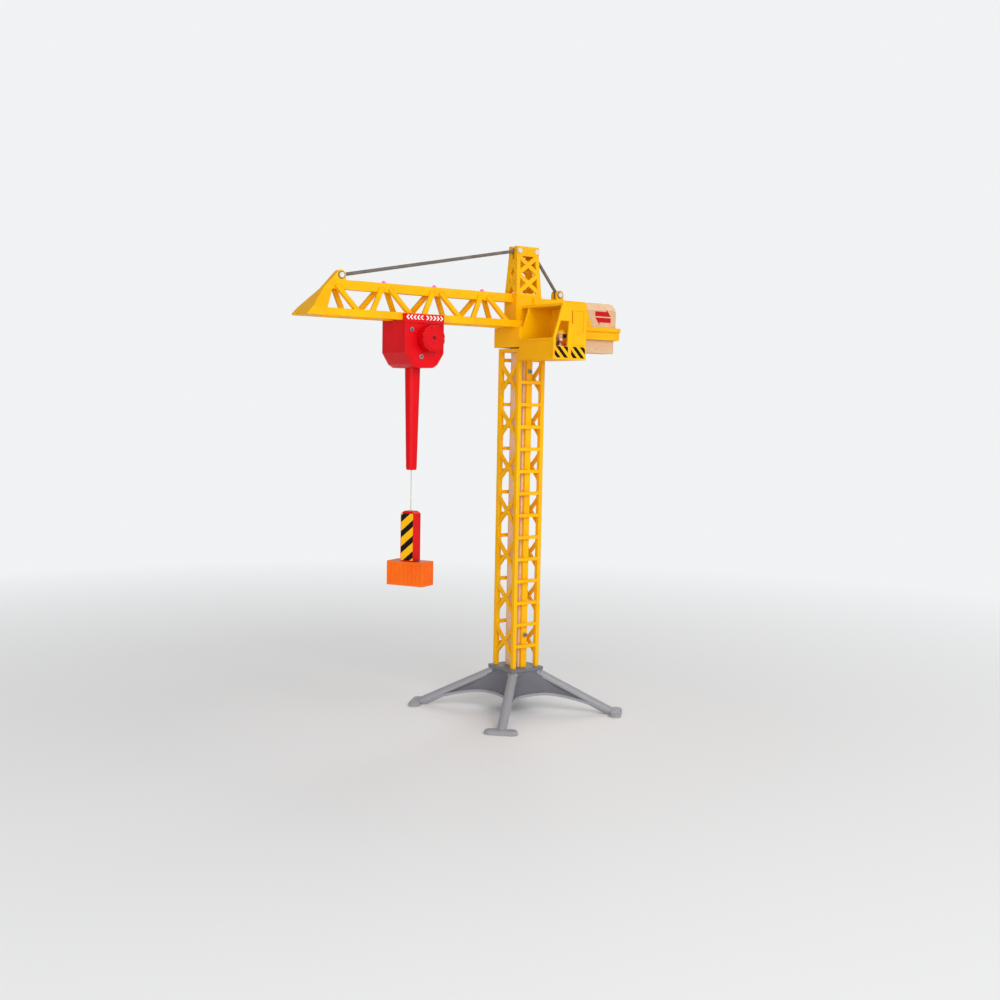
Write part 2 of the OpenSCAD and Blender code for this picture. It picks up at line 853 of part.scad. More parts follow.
module driver_ear_defenders() color([0.1, 0.1, 0.1]) translate(driver)
  for (s = [0, 1]) mirror([0, s, 0])
    difference() {
      across(0, head_z - 0.8, head_r - 0.8, ear_out, ear_r);
      translate([0, 0, head_z]) sphere(head_r);
    }

// Hollow upper chord with a lug for the front tie rod
module jib_top_chord() color(yellow) difference() {
  union() {
    span([tip_x, -top_w / 2, top_low], [-tower_x / 2, top_w / 2, top_z]);
    slab_y(-top_w / 2, top_w / 2) {
      translate(tip_pin) circle(lug_r);
      polygon([[tip_x, top_z - 1], [tip_pin[0] + lug_r, top_z - 1], [tip_pin[0] + lug_r, tip_pin[1]],
        tip_pin, nose_touch, [tip_x, nose_top]]);
    }
  }
  span([light_x - 2 * bay - channel_past, -channel, top_low - 1],
    [-tower_x / 2 + 1, channel, top_z - channel_roof]);
  span([tip_pin[0] - eye_r - gap, -eye_slot, top_z], [tip_pin[0] + 2 * lug_r, eye_slot, top_z + far]);
  across(tip_pin[0], tip_pin[1], -far, far, pin_r + fit);
  span([-tower_x / 2 - gap, -far, tower_z], [0, far, far]);
  for (i = [0:2])
    translate([light_x - i * bay, 0, top_z - light_deep]) cylinder(h = light_deep + 1, r = light_r + fit);
}

// Lower chord, its inner ledge and the slanting struts on the -Y side
module jib_truss() {
  rise = [chord_y - top_w / 2, top_low + strut_up - chord_top];
  span([nose_x, -chord_out, chord_z], [tower_x / 2, -chord_y + chord_w / 2, chord_top]);
  span([nose_x, -chord_y, chord_z], [-house_x / 2, -chord_y + chord_w / 2 + ledge, chord_z + ledge_t]);
  difference() {
    translate([0, -chord_y, chord_top]) rotate([-atan2(rise[0], rise[1]), 0, 0])
      slab_y(-strut_t / 2, strut_t / 2)
        for (i = [0:3], s = [-1, 1])
          if (i < 3 || s > 0)
            translate([light_x - i * bay, 0])
              bar([s * strut_foot, -2], [s * strut_head, norm(rise)], strut_w);
    span([-far, -top_w / 2, top_low], [far, top_w / 2, far]);
    span([-far, -far, 0], [far, -chord_out, chord_top]);
  }
}

module jib_near_truss() color(yellow) jib_truss();
module jib_far_truss() color(yellow) mirror([0, 1, 0]) jib_truss();

// Closed wedge at the jib's end
module jib_nose() color(yellow) intersection() {
  slab_y(-chord_out, chord_out)
    polygon([nose_tip, [nose_tip[0] + 2, chord_z], [nose_x, chord_z], [nose_x, chord_top],
      [tip_x, top_low], [tip_x, nose_top]]);
  slab_x(-far, far)
    polygon([[-chord_out, chord_z], [chord_out, chord_z], [chord_out, chord_top],
      [top_w / 2, top_low], [top_w / 2, nose_top], [-top_w / 2, nose_top], [-top_w / 2, top_low],
      [-chord_out, chord_top]]);
}

// Domed lamps in the upper chord
module jib_lights() color([1, 0.25, 0.35])
  for (i = [0:2]) translate([light_x - i * bay, 0, top_z + light_proud]) {
    translate([0, 0, -light_deep - light_proud]) cylinder(h = light_deep + light_proud, r = light_r);
    intersection() {
      sphere(light_r);
      translate([-light_r, -light_r, 0]) cube([2 * light_r, 2 * light_r, light_r]);
    }
  }

// Two wires from the lamps, down inside the tower and housing, to the battery box
module light_wires() color([0.7, 0.1, 0.1]) {
  route = [[light_x - 2 * bay - 4, wire_z], [wire_down, wire_z],
    [wire_down, wire_low], [cell_in - 2, wire_low]];
  for (s = [-1, 1], i = [0:2]) {
    p = [route[i][0], s * wire_y, route[i][1]];
    q = [route[i + 1][0], s * wire_y, route[i + 1][1]];
    rod(p, q, wire_r);
    if (i > 0) translate(p) sphere(wire_r);
  }
}

// Side frame of the counter-jib on the -Y side
module counter_frame() {
  slab_y(-frame_out, -frame_in) {
    polygon([[frame_root, beam_low], [beam_bend[0], beam_low], [beam_foot[0], rail_top],
      [beam_foot[1], rail_top], [beam_bend[1], beam_top], [frame_root, beam_top]]);
    translate([house_x / 2, rail_low]) square([rail_end - house_x / 2, rail_top - rail_low]);
  }
  span([house_x / 2, -frame_out - rail_lip[0], rail_top - rail_lip[1]], [rail_end, -frame_out, rail_top]);
  span([weight_in - weight_run - 1, -frame_in, rib_low], [rail_end - stop_t, -rib_y, rib_low + rib_h]);
}

module counter_jib_near() color(yellow) counter_frame();
module counter_jib_far() color(yellow) mirror([0, 1, 0]) counter_frame();

// Cross piece with the rear tie rod's lug
module counter_jib_bridge() color(yellow) difference() {
  union() {
    span([lug_x - bridge_half, -frame_in, beam_low], [lug_x + bridge_half, frame_in, beam_top]);
    across(lug_x, lug_z, -bridge_lug, bridge_lug, lug_r);
    span([lug_x - lug_r, -bridge_lug, beam_top - 1], [lug_x + lug_r, bridge_lug, lug_z]);
  }
  span([lug_x - far, -eye_slot, beam_top], [lug_x + eye_r + gap, eye_slot, far]);
  across(lug_x, lug_z, -far, far, pin_r + fit);
}

// Bar across the rails' outer end
module rail_end_stop() color(yellow)
  span([rail_end - stop_t, -frame_in, rail_low], [rail_end, frame_in, rail_top]);

module battery_box() color([0.2, 0.2, 0.22]) difference() {
  span([box_in, -frame_in, rail_low], [box_out, frame_in, box_top]);
  span([cell_in - cell_play, -cell_r - cell_play, rail_low - 1],
    [cell_in + cells * cell_t + cell_play, cell_r + cell_play, rail_low + 2 * cell_r + 2 * cell_play]);
  translate([cover_screw, 0, rail_low - 1]) cylinder(h = cover_bite + 2, r = cover_screw_r + fit);
  translate([box_in - 1, 0, wire_low]) rotate([0, 90, 0])
    cylinder(h = cell_in - box_in + 1, r = wire_hole);
}

// Button cells, end to end along X
module battery_cells() color(steel)
  for (i = [0:cells - 1])
    translate([cell_in + i * cell_t, 0, rail_low + cell_r + cell_play]) rotate([0, 90, 0])
      cylinder(h = cell_t - 0.1, r = cell_r);

module battery_cover() color(yellow) difference() {
  span([box_in, -frame_in, rail_low - cover_t], [box_out, frame_in, rail_low]);
  translate([cover_screw, 0, rail_low - cover_t - 1]) cylinder(h = cover_t + 2, r = cover_screw_r + fit);
}

module battery_screw() color(steel) translate([cover_screw, 0, rail_low - cover_t]) {
  cylinder(h = cover_t + cover_bite, r = cover_screw_r);
  translate([0, 0, -cover_head_t]) cylinder(h = cover_head_t, r = cover_head_r);
}

// Wooden block with a groove along each side for the counter-jib's ribs
module counterweight() color(wood) difference() {
  round_at = [weight_out - weight_round, weight_top - weight_round];
  union() {
    slab_y(-weight_h, weight_h) difference() {
      translate([weight_in, rail_low]) square([weight_l, weight_top - rail_low]);
      difference() {
        translate(round_at) square(weight_round + 1);
        translate(round_at) circle(weight_round);
      }
    }
    span([weight_in + weight_foot[0], -weight_h, weight_low],
      [weight_out - weight_foot[1], weight_h, rail_low]);
  }
  for (s = [0, 1]) mirror([0, s, 0])
    span([weight_in - 1, -frame_in, rib_low - gap], [weight_out + 1, -rib_y + gap, rib_low + rib_h + gap]);
}

// Front view of the trolley's shell, drawn in by a margin
module trolley_outline(inset) {
  h = trolley_l / 2 - inset;
  low = trolley_low + inset;
  k = inset * 0.4;
  side = [[h, trolley_top - inset], [h, shoulder_z + k], [trolley_foot[0] - k, low + trolley_toe],
    [trolley_foot[1] - k, low]];
  polygon([for (p = side) p, for (i = [3:-1:0]) [-side[i][0], side[i][1]]]);
}

// Half of the trolley's shell, on the -Y side
module trolley_half() translate([tx, 0, 0]) difference() {
  union() {
    slab_y(-face_y, 0) trolley_outline(0);
    slab_y(-face_y - rim_t, -face_y) difference() {
      trolley_outline(0);
      trolley_outline(rim_w);
    }
    span([-trolley_l / 2, -trolley_w / 2, trolley_top - rim_w], [trolley_l / 2, -strip_in, strip_top]);
  }
  slab_y(-face_y + wall, 1) trolley_outline(wall);
  translate([0, 0, trolley_low - 1]) cylinder(h = wall + 2, r = tube_top_r + fit);
  span([-neck_x - fit, -neck_y - fit, trolley_top - wall - 1], [neck_x + fit, 1, trolley_top + 1]);
}

module trolley_front() color(red) difference() {
  trolley_half();
  across(winch[0], winch[1], -far, 0, shaft_r + fit);
  for (p = shell_screws) {
    across(tx + p[0], p[1], -far, -face_y + 1, shell_head[0] + fit);
    across(tx + p[0], p[1], -far, 0, shell_screw_r + fit);
  }
}

module trolley_rear() color(red) difference() {
  union() {
    mirror([0, 1, 0]) trolley_half();
    for (p = shell_screws) across(tx + p[0], p[1], -face_y + wall, face_y - wall, boss);
    across(winch[0], winch[1], face_y - wall - 2, face_y - wall, bearing_r);
  }
  across(winch[0], winch[1], drum_half, drum_end + gap, shaft_r + fit);
  for (p = shell_screws) across(tx + p[0], p[1], -far, shell_bite + 1, shell_screw_r + fit);
}

// Slider that runs on the ledges inside the jib's lower chords
module trolley_runner() color(red) translate([tx, 0, 0]) difference() {
  union() {
    span([-neck_x, -neck_y, neck_low], [neck_x, neck_y, runner_z]);
    span([-neck_x - 1, -neck_y - neck_lip, neck_low], [neck_x + 1, neck_y + neck_lip, trolley_top - wall]);
    span([-neck_x - 1, -runner_in, runner_z], [neck_x + 1, runner_in, runner_z + runner_t]);
  }
  span([-neck_x + wall, -neck_y + wall, neck_low - 1], [neck_x - wall, neck_y - wall, runner_z - 1]);
}

module trolley_screws() color(steel)
  for (p = shell_screws) {
    across(tx + p[0], p[1], -face_y + 1, shell_bite, shell_screw_r);
    across(tx + p[0], p[1], -face_y + 1 - shell_head[1], -face_y + 1, shell_head[0]);
  }

// Tapered guide tube below the trolley, with a collar inside the shell
module hoist_tube() color(red) translate([tx, 0, 0]) rotate_extrude()
  polygon([[tube_top_r - tube_wall, tube_seat + tube_collar[1]],
    [tube_top_r + tube_collar[0], tube_seat + tube_collar[1]], [tube_top_r + tube_collar[0], tube_seat],
    [tube_top_r, tube_seat], [tube_top_r, trolley_low], [tube_low_r, tube_low + 2],
    [tube_low_r - 0.6, tube_low], [tube_low_r - tube_wall, tube_low]]);

// Knob on the trolley's front, with a recess for its screw
module winch_knob() color(red) difference() {
  union() {
    across(winch[0], winch[1], -knob_front, -knob_back, knob_d / 2);
    across(winch[0], winch[1], -knob_front - knob_crown[0], -knob_front, knob_d / 2 - knob_crown[1]);
    across(winch[0], winch[1], -knob_back, -drum_half, shaft_r);
  }
  across(winch[0], winch[1], -far, -knob_front + knob_seat, winch_head[0] + fit);
  across(winch[0], winch[1], -far, 0, winch_screw_r + fit);
  for (a = [0:30:330])
    translate([winch[0], 0, winch[1]]) rotate([0, a, 0])
      across(knob_d / 2 + 0.6, 0, -far, -knob_back + 1, grip_r);
}

// Flanged drum with a stub shaft in the rear shell
module winch_drum() color([0.93, 0.93, 0.92]) difference() {
  union() {
    across(winch[0], winch[1], -drum_half, drum_half, drum_core);
    for (s = [0, 1])
      mirror([0, s, 0]) across(winch[0], winch[1], drum_half - drum_wall, drum_half, flange_r);
    across(winch[0], winch[1], drum_half, drum_end, shaft_r);
  }
  across(winch[0], winch[1], -far, -2, winch_screw_r + fit);
}

module winch_screw() color(steel) {
  seat = -knob_front + knob_seat;
  across(winch[0], winch[1], seat, -3, winch_screw_r);
  across(winch[0], winch[1], seat - winch_head[1], seat, winch_head[0]);
}

// Cord wound on the drum, as one sleeve
module winch_winding() color([0.95, 0.93, 0.88]) difference() {
  reach = drum_half - drum_wall - gap;
  across(winch[0], winch[1], -reach, reach, wound_r);
  across(winch[0], winch[1], -far, far, drum_core + fit);
}

module hoist_cord() color([0.95, 0.93, 0.88]) translate([tx, 0, cord_low])
  cylinder(h = winch[1] - cord_low, r = cord_d / 2);

// Places a hanging piece below the trolley
module hanging() {
  translate([tx, 0, 0]) rotate(hang_turn) children();
}

module magnet_casing() color(red) hanging() difference() {
  w = magnet_w / 2;
  shoulder_low = magnet_top - magnet_crown[1];
  union() {
    span([-w, -w, magnet_low], [w, w, shoulder_low]);
    sloped_box(magnet_w, magnet_w - magnet_crown[0], shoulder_low, magnet_top);
  }
  translate([0, 0, cord_low]) cylinder(h = far, r = cord_d / 2 + fit);
  translate([0, 0, magnet_low - 1]) cylinder(h = magnet_deep + 1, r = magnet_r + fit);
}

module magnet() color(steel) hanging() translate([0, 0, magnet_low]) cylinder(h = magnet_deep, r = magnet_r);

// Ribbed container, open below, with a recess for its plate
module load_shell() color([1, 0.4, 0.02]) hanging() difference() {
  x = load_w / 2 - load_proud;
  y = load_l / 2 - load_proud;
  low = load_top - load_h;
  union() {
    span([-x, -y, low], [x, y, load_top]);
    for (z = [low, load_top - load_band])
      span([-x - load_proud, -y - load_proud, z], [x + load_proud, y + load_proud, z + load_band]);
    for (sx = [0, 1], sy = [0, 1])
      mirror([sx, 0, 0]) mirror([0, sy, 0]) {
        span([x + load_proud - load_post, y + load_proud - load_post, low],
          [x + load_proud, y + load_proud, load_top]);
      }
    for (s = [0, 1]) mirror([s, 0, 0])
      for (i = [-3:3]) load_ribs([x, i * load_pitch, low], [load_rib[0] / 2, load_rib[1] / 2, load_h]);
    for (s = [0, 1]) mirror([0, s, 0])
      for (i = [-1:1]) load_ribs([i * load_pitch, y, low], [load_rib[1] / 2, load_rib[0] / 2, load_h]);
  }
  span([-x + load_wall, -y + load_wall, low - 1], [x - load_wall, y - load_wall, load_top - load_lid]);
  span([-plate_x - fit, -plate_y - fit, load_top - plate_t], [plate_x + fit, plate_y + fit, load_top + 1]);
}

// One upright rib on the container's wall
module load_ribs(at, size) {
  translate(at) span([-size[0], -size[1], load_band / 2], [size[0], size[1], size[2] - load_band / 2]);
}

module load_plate() color(steel) hanging()
  span([-plate_x, -plate_y, load_top - plate_t], [plate_x, plate_y, load_top]);

placed() base_frame();
placed() base_deck();
placed() base_screws();
placed() mast_left_panel();
placed() mast_right_panel();
placed() mast_front_ladder();
placed() mast_rear_ladder();
placed() mast_core();
placed() mast_screws();
placed() mast_cap();
placed() slew_spindle();
placed() slew_washer();
placed() slew_screw();
placed() head_housing();
placed() head_deck();
placed() tower_base();
placed() tower_top();
placed() tie_pins();
placed() front_tie_rod();
placed() rear_tie_rod();
placed() cab_shell();
placed() cab_side();
placed() cab_roof();
placed() driver_body();
placed() driver_arms();
placed() driver_head();
placed() driver_helmet();
placed() driver_ear_defenders();
placed() jib_top_chord();
placed() jib_near_truss();
placed() jib_far_truss();
placed() jib_nose();
placed() jib_lights();
placed() light_wires();
placed() counter_jib_near();
placed() counter_jib_far();
placed() counter_jib_bridge();
placed() rail_end_stop();
placed() battery_box();
placed() battery_cells();
placed() battery_cover();
placed() battery_screw();
placed() light_switch();
placed() counterweight();
placed() trolley_front();
placed() trolley_rear();
placed() trolley_runner();
placed() trolley_screws();
placed() hoist_tube();
placed() winch_knob();
placed() winch_drum();
placed() winch_screw();
placed() winch_winding();
placed() hoist_cord();
placed() magnet_casing();
placed() magnet();
placed() load_shell();
placed() load_plate();
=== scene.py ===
"""Looks of the toy tower crane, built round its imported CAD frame.

Sizes are in millimetres from the mast axis, and at() turns them into metres in the frame.
"""

import logging
import math
from dataclasses import dataclass
from enum import Enum

import bmesh
import bpy
from mathutils import Matrix, Vector


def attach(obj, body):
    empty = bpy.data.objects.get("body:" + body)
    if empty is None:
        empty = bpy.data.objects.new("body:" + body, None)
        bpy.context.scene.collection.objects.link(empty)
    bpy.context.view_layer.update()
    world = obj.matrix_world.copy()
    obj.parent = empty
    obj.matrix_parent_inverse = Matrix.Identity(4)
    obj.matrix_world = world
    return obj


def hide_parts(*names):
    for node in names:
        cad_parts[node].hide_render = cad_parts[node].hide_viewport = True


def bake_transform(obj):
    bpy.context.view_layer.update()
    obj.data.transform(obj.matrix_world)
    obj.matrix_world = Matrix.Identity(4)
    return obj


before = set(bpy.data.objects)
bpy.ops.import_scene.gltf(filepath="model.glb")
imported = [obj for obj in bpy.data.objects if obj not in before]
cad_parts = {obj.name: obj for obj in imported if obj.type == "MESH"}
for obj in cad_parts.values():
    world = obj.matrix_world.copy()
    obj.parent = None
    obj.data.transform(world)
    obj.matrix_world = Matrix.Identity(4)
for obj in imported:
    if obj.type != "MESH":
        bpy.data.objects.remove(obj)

MM = 0.001
AXIS_X = 77.25  # the mast axis, from the model's origin
FILM = 0.06  # thickness of a pad print
HANG_TURN = 27.0  # turn of the hanging pieces about the cord
TROLLEY_X = -153.5  # the cord, from the mast axis
WINCH = (-148.0, 437.0)  # the winch's axis: place along the jib and height
DRIVER = (0.0, -71.0, 420.5)  # middle of the figure's foot
HEAD_Z = 25.0  # middle of the driver's head above the cab's floor
CROSS_HALF = 0.26  # half width of a cross drive's arm, as a share of its reach
ALONG = Vector((1, 0, 0))
UP = Vector((0, 0, 1))
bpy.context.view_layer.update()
LOG = logging.getLogger("crane")

Colour = tuple[float, float, float, float]
Point = tuple[float, float]
Triple = tuple[float, float, float]
Tree = bpy.types.NodeTree
Socket = bpy.types.NodeSocket


def at(x: float, y: float, z: float) -> Vector:
    """Turn a point in mm from the mast axis into the frame's metres.

    Args:
        x: Distance along the jib, towards the counterweight.
        y: Distance across the jib, away from the cab.
        z: Height above the floor.

    Returns:
        The point in the frame, in metres.
    """
    return Vector(((x + AXIS_X) * MM, y * MM, z * MM))


def linear(code: str) -> Colour:
    """Turn an sRGB hex code into a linear colour.

    Args:
        code: Six hex digits after a hash.

    Returns:
        Red, green, blue and alpha.
    """
    parts = [int(code[i:i + 2], 16) / 255 for i in (1, 3, 5)]
    r, g, b = (c / 12.92 if c <= 0.04045 else ((c + 0.055) / 1.055) ** 2.4 for c in parts)
    return (r, g, b, 1.0)


def per_mm(size: float) -> float:
    """Give the texture scale at which one feature is size millimetres."""
    return 1 / (size * MM)


def add_node(tree: Tree, kind: str, inputs: list | dict | None = None, out: int | str = 0,
             **settings: object) -> Socket:
    """Add one shader node with its settings and its inputs set or linked.

    Args:
        tree: The node tree that takes the node.
        kind: Blender's name of the node type, without ShaderNode.
        inputs: Values, or the outputs that feed them, in the inputs' order or by name or number.
        out: Name or number of the output that is wanted.
        **settings: Properties of the node.

    Returns:
        The wanted output.
    """
    made = tree.nodes.new("ShaderNode" + kind)
    for key, value in settings.items():
        setattr(made, key, value)
    pairs = inputs.items() if isinstance(inputs, dict) else enumerate(inputs or [])
    for key, value in pairs:
        if isinstance(value, Socket):
            tree.links.new(value, made.inputs[key])
        else:
            made.inputs[key].default_value = value
    return made.outputs[out]


class GrainAxis(Enum):
    """Direction of a wooden piece's grain."""

    ALONG_X = (0.0, math.pi / 2, 0.0)
    ALONG_Z = (0.0, 0.0, 0.0)


@dataclass(frozen=True)
class Finish:
    """A material and how its surface was made."""

    name: str
    colour: str
    roughness: float = 0.4
    ior: float = 1.5
    metallic: float = 0.0

    def material(self) -> bpy.types.Material:
        """Make the material once.

        Returns:
            The Blender material of this finish.
        """
        known = bpy.data.materials.get(self.name)
        if known:
            return known
        made = bpy.data.materials.new(self.name)
        made.use_nodes = True
        tree = made.node_tree
        shader = tree.nodes["Principled BSDF"]
        shader.inputs["Metallic"].default_value = self.metallic
        if not self.metallic:
            shader.inputs["IOR"].default_value = self.ior
        for key, value in self.surface(tree).items():
            if isinstance(value, Socket):
                tree.links.new(value, shader.inputs[key])
            else:
                shader.inputs[key].default_value = value
        return made

    def surface(self, tree: Tree) -> dict[str, object]:
        """Draw the surface.

        Args:
            tree: The material's node tree.

        Returns:
            The main shader's inputs, as values or outputs.
        """
        raise NotImplementedError


@dataclass(frozen=True)
class MouldedAbs(Finish):
    """ABS from a spark-eroded mould: even colour, satin gloss, and rounded edges paler, partly from rubbing in use
    and partly as a painted highlight.
    """

    tint: str = "#808080"
    # colour of the paler edges: rubbed wear and a painted highlight
    rub_and_highlight: str = "#ffffff"
    ior: float = 1.53
    gloss: float = 0.4
    flow_mm: float = 38.0
    rub_mm: float = 7.0
    mark_mm: float = 11.0
    grain_mm: float = 2.4  # real spark texture is about 0.05 mm, drawn coarser so that it shows
    grain_deep: float = 0.03
    edge_mm: float = 0.5
    edge_turn: Point = (0.99, 0.86)  # cosines of the turn at which the paler edge (rubbed wear and painted highlight) starts and is full
    pale_edge_share: float = 0.45
    polish: float = 0.12  # how much smoother a rubbed place is

    def surface(self, tree: Tree) -> dict[str, object]:
        """Draw melt flow, paler edges that are partly rubbed wear and partly a painted highlight, handling marks and
        spark grain.
        """
        place = add_node(tree, "TexCoord", out="Object")
        rounded = add_node(tree, "Bevel", {"Radius": self.edge_mm * MM}, samples=4)
        facing = add_node(tree, "NewGeometry", out="Normal")
        turn = add_node(tree, "VectorMath", [rounded, facing], "Value", operation="DOT_PRODUCT")
        edge = add_node(tree, "MapRange", [turn, *self.edge_turn, 0.0, self.pale_edge_share])
        rub = add_node(tree, "TexNoise", {"Vector": place, "Scale": per_mm(self.rub_mm), "Detail": 3.0})
        rub = add_node(tree, "MapRange", [rub, 0.38, 0.66, 0.15, 1.0])
        rub_and_highlight = add_node(tree, "Math", [edge, rub], operation="MULTIPLY")
        flow = add_node(tree, "TexNoise", {"Vector": place, "Scale": per_mm(self.flow_mm), "Detail": 3.0})
        flow = add_node(tree, "MapRange", [flow, 0.35, 0.65])
        body = add_node(tree, "Mix", {0: flow, 6: linear(self.colour), 7: linear(self.tint)}, 2, data_type="RGBA")
        # Paler edges: partly rubbed wear, partly a painted highlight along the rounded edges.
        tone = add_node(tree, "Mix", {0: rub_and_highlight, 6: body, 7: linear(self.rub_and_highlight)}, 2, data_type="RGBA")
        marks = add_node(tree, "TexNoise", {"Vector": place, "Scale": per_mm(self.mark_mm), "Detail": 5.0})
        satin = add_node(tree, "MapRange", [marks, 0.3, 0.7, self.roughness - 0.07, self.roughness + 0.09])
        polish = add_node(tree, "Math", [rub_and_highlight, self.polish], operation="MULTIPLY")
        satin = add_node(tree, "Math", [satin, polish], operation="SUBTRACT")
        grain = add_node(tree, "TexNoise", {"Vector": place, "Scale": per_mm(self.grain_mm), "Detail": 2.0})
        bump = add_node(tree, "Bump", {"Height": grain, "Distance": self.grain_deep * MM, "Strength": 0.25,
                                       "Normal": rounded})
        return {"Base Color": tone, "Roughness": satin, "Normal": bump, "Specular IOR Level": self.gloss}


@dataclass(frozen=True)
class PanelledAbs(MouldedAbs):
    """ABS with dull textured panels between smooth ribs, feet and lower lip, which carry a paler tone as a painted
    highlight.
    """

    # paler tone of the ribs, feet and lower lip: a painted highlight
    smooth: str = "#9b9ba0"
    rib: tuple[Point, Point] = ((31.02, 43.95), (121.62, 0.0))  # the rib's axis: distance out and height
    rib_r: float = 5.5
    rib_edge: Point = (0.1, 0.5)  # where its edge starts and ends fading, outside its radius
    rib_under: Point = (-1.8, -1.2)  # where its underside ends, measured up from the axis
    rib_in: float = 5.0  # how far it runs into the box
    foot_z: float = 5.0
    arch: Triple = (20.0, 21.0, 236.0)  # the arch under a leg: its crown's distance out, height and radius
    lip_h: float = 3.0
    clear: float = 0.1

    def surface(self, tree: Tree) -> dict[str, object]:
        """Draw the panels as moulded ABS, and make what stands proud of them smoother, with a paler tone that is a
        painted highlight.
        """
        made = super().surface(tree)
        place = add_node(tree, "TexCoord", out="Object")
        from_axis = add_node(tree, "VectorMath", [place, at(0, 0, 0)], operation="SUBTRACT")
        quarter = add_node(tree, "VectorMath", [from_axis], operation="ABSOLUTE")
        parts = add_node(tree, "SeparateXYZ", [quarter]).node.outputs
        diagonal = math.sqrt(0.5)
        out = add_node(tree, "VectorMath", [quarter, (diagonal, diagonal, 0.0)], "Value", operation="DOT_PRODUCT")
        across = add_node(tree, "VectorMath", [quarter, (diagonal, -diagonal, 0.0)], "Value", operation="DOT_PRODUCT")
        (top_out, top_z), (low_out, low_z) = self.rib
        lean = math.atan2(top_z - low_z, low_out - top_out)
        tilt = (math.sin(lean) * diagonal, math.sin(lean) * diagonal, math.cos(lean))
        above = add_node(tree, "VectorMath", [quarter, tilt], "Value", operation="DOT_PRODUCT")
        above = add_node(tree, "Math", [above, low_out * math.sin(lean) * MM], operation="SUBTRACT")
        section = add_node(tree, "CombineXYZ", [above, across, 0.0])
        reach = add_node(tree, "VectorMath", [section], "Value", operation="LENGTH")
        edges = [(self.rib_r + e) * MM for e in self.rib_edge]
        rib = add_node(tree, "MapRange", [reach, *edges, 1.0, 0.0])
        outside = add_node(tree, "Math", [out, (top_out - self.rib_in) * MM], operation="GREATER_THAN")
        rib = add_node(tree, "Math", [rib, outside], operation="MULTIPLY")
        upper = add_node(tree, "MapRange", [above, *(u * MM for u in self.rib_under)])
        rib = add_node(tree, "Math", [rib, upper], operation="MULTIPLY")
        foot = add_node(tree, "Math", [parts["Z"], (self.foot_z + self.clear) * MM], operation="LESS_THAN")
        crown_out, crown_z, radius = self.arch
        run = add_node(tree, "Math", [out, crown_out * MM], operation="SUBTRACT")
        fall = add_node(tree, "Math", [run, run], operation="MULTIPLY")
        fall = add_node(tree, "Math", [fall, 2 * radius * MM], operation="DIVIDE")
        over = add_node(tree, "Math", [parts["Z"], fall], operation="ADD")
        lip = add_node(tree, "Math", [over, (crown_z + self.lip_h + self.clear) * MM], operation="LESS_THAN")
        proud = add_node(tree, "Math", [foot, lip], operation="MAXIMUM")
        proud = add_node(tree, "Math", [proud, rib], operation="MAXIMUM")
        # Painted highlight: the ribs, feet and lower lip are painted paler than the panels.
        made["Base Color"] = add_node(tree, "Mix", {0: proud, 6: made["Base Color"], 7: linear(self.smooth)}, 2,
                                      data_type="RGBA")
        polish = add_node(tree, "Math", [proud, self.polish], operation="MULTIPLY")
        made["Roughness"] = add_node(tree, "Math", [made["Roughness"], polish], operation="SUBTRACT")
        return made


@dataclass(frozen=True)
class SandedBeech(Finish):
    """Beech, sanded and lacquered: straight pores, short brown flecks and soft year rings."""

    late: str = "#c89a68"
    fleck: str = "#a9774a"
    grain: GrainAxis = GrainAxis.ALONG_Z
    ring_mm: float = 34.56  # real year rings are about 3 mm, drawn as broad soft bands
    bend_mm: float = 24.0
    wander: float = 0.007
    pore_mm: float = 0.8
    pore_deep: float = 0.08
    fleck_mm: float = 0.9
    stretch: Point = (0.06, 0.2)  # scale of pores and of flecks along the grain
    edge_mm: float = 0.9
    pith: Triple = (0.0, 0.0, 0.0)

    def surface(self, tree: Tree) -> dict[str, object]:
        """Draw year rings, pores and flecks along the grain, with fine open-pore relief."""
        place = add_node(tree, "TexCoord", out="Object")
        turned = add_node(tree, "Mapping", {"Vector": place, "Rotation": self.grain.value, "Location": self.pith})
        drawn = add_node(tree, "Mapping", {"Vector": turned, "Scale": (1.0, 1.0, self.stretch[0])})
        bent = add_node(tree, "TexNoise", {"Vector": drawn, "Scale": per_mm(self.bend_mm)}, "Color")
        wander = add_node(tree, "VectorMath", {0: bent, 3: self.wander}, operation="SCALE")
        curved = add_node(tree, "VectorMath", [drawn, wander])
        per_ring = per_mm(self.ring_mm) * math.pi / 10  # a wave texture repeats at pi / 10
        rings = add_node(tree, "TexWave", {"Vector": curved, "Scale": per_ring, "Distortion": 0.6, "Detail": 2.0}, 1,
                         wave_type="RINGS", rings_direction="Z", wave_profile="SAW")
        year = add_node(tree, "MapRange", [rings, 0.15, 1.0, 0.0, 0.8])
        pores = add_node(tree, "TexNoise", {"Vector": drawn, "Scale": per_mm(self.pore_mm), "Detail": 4.0})
        streak = add_node(tree, "MapRange", [pores, 0.42, 0.75, 0.0, 0.45])
        dash = add_node(tree, "Mapping", {"Vector": turned, "Scale": (1.0, 1.0, self.stretch[1])})
        flecks = add_node(tree, "TexNoise", {"Vector": dash, "Scale": per_mm(self.fleck_mm), "Detail": 1.0})
        flecks = add_node(tree, "MapRange", [flecks, 0.64, 0.7, 0.0, 0.6])
        tone = linear(self.colour)
        for share, code in ((year, self.late), (streak, self.late), (flecks, self.fleck)):
            tone = add_node(tree, "Mix", {0: share, 6: tone, 7: linear(code)}, 2, data_type="RGBA")
        dull = add_node(tree, "MapRange", [pores, 0.3, 0.7, self.roughness - 0.08, self.roughness + 0.1])
        rounded = add_node(tree, "Bevel", {"Radius": self.edge_mm * MM}, samples=4)
        bump = add_node(tree, "Bump", {"Height": pores, "Distance": self.pore_deep * MM, "Strength": 0.5,
                                       "Normal": rounded})
        return {"Base Color": tone, "Roughness": dull, "Normal": bump}


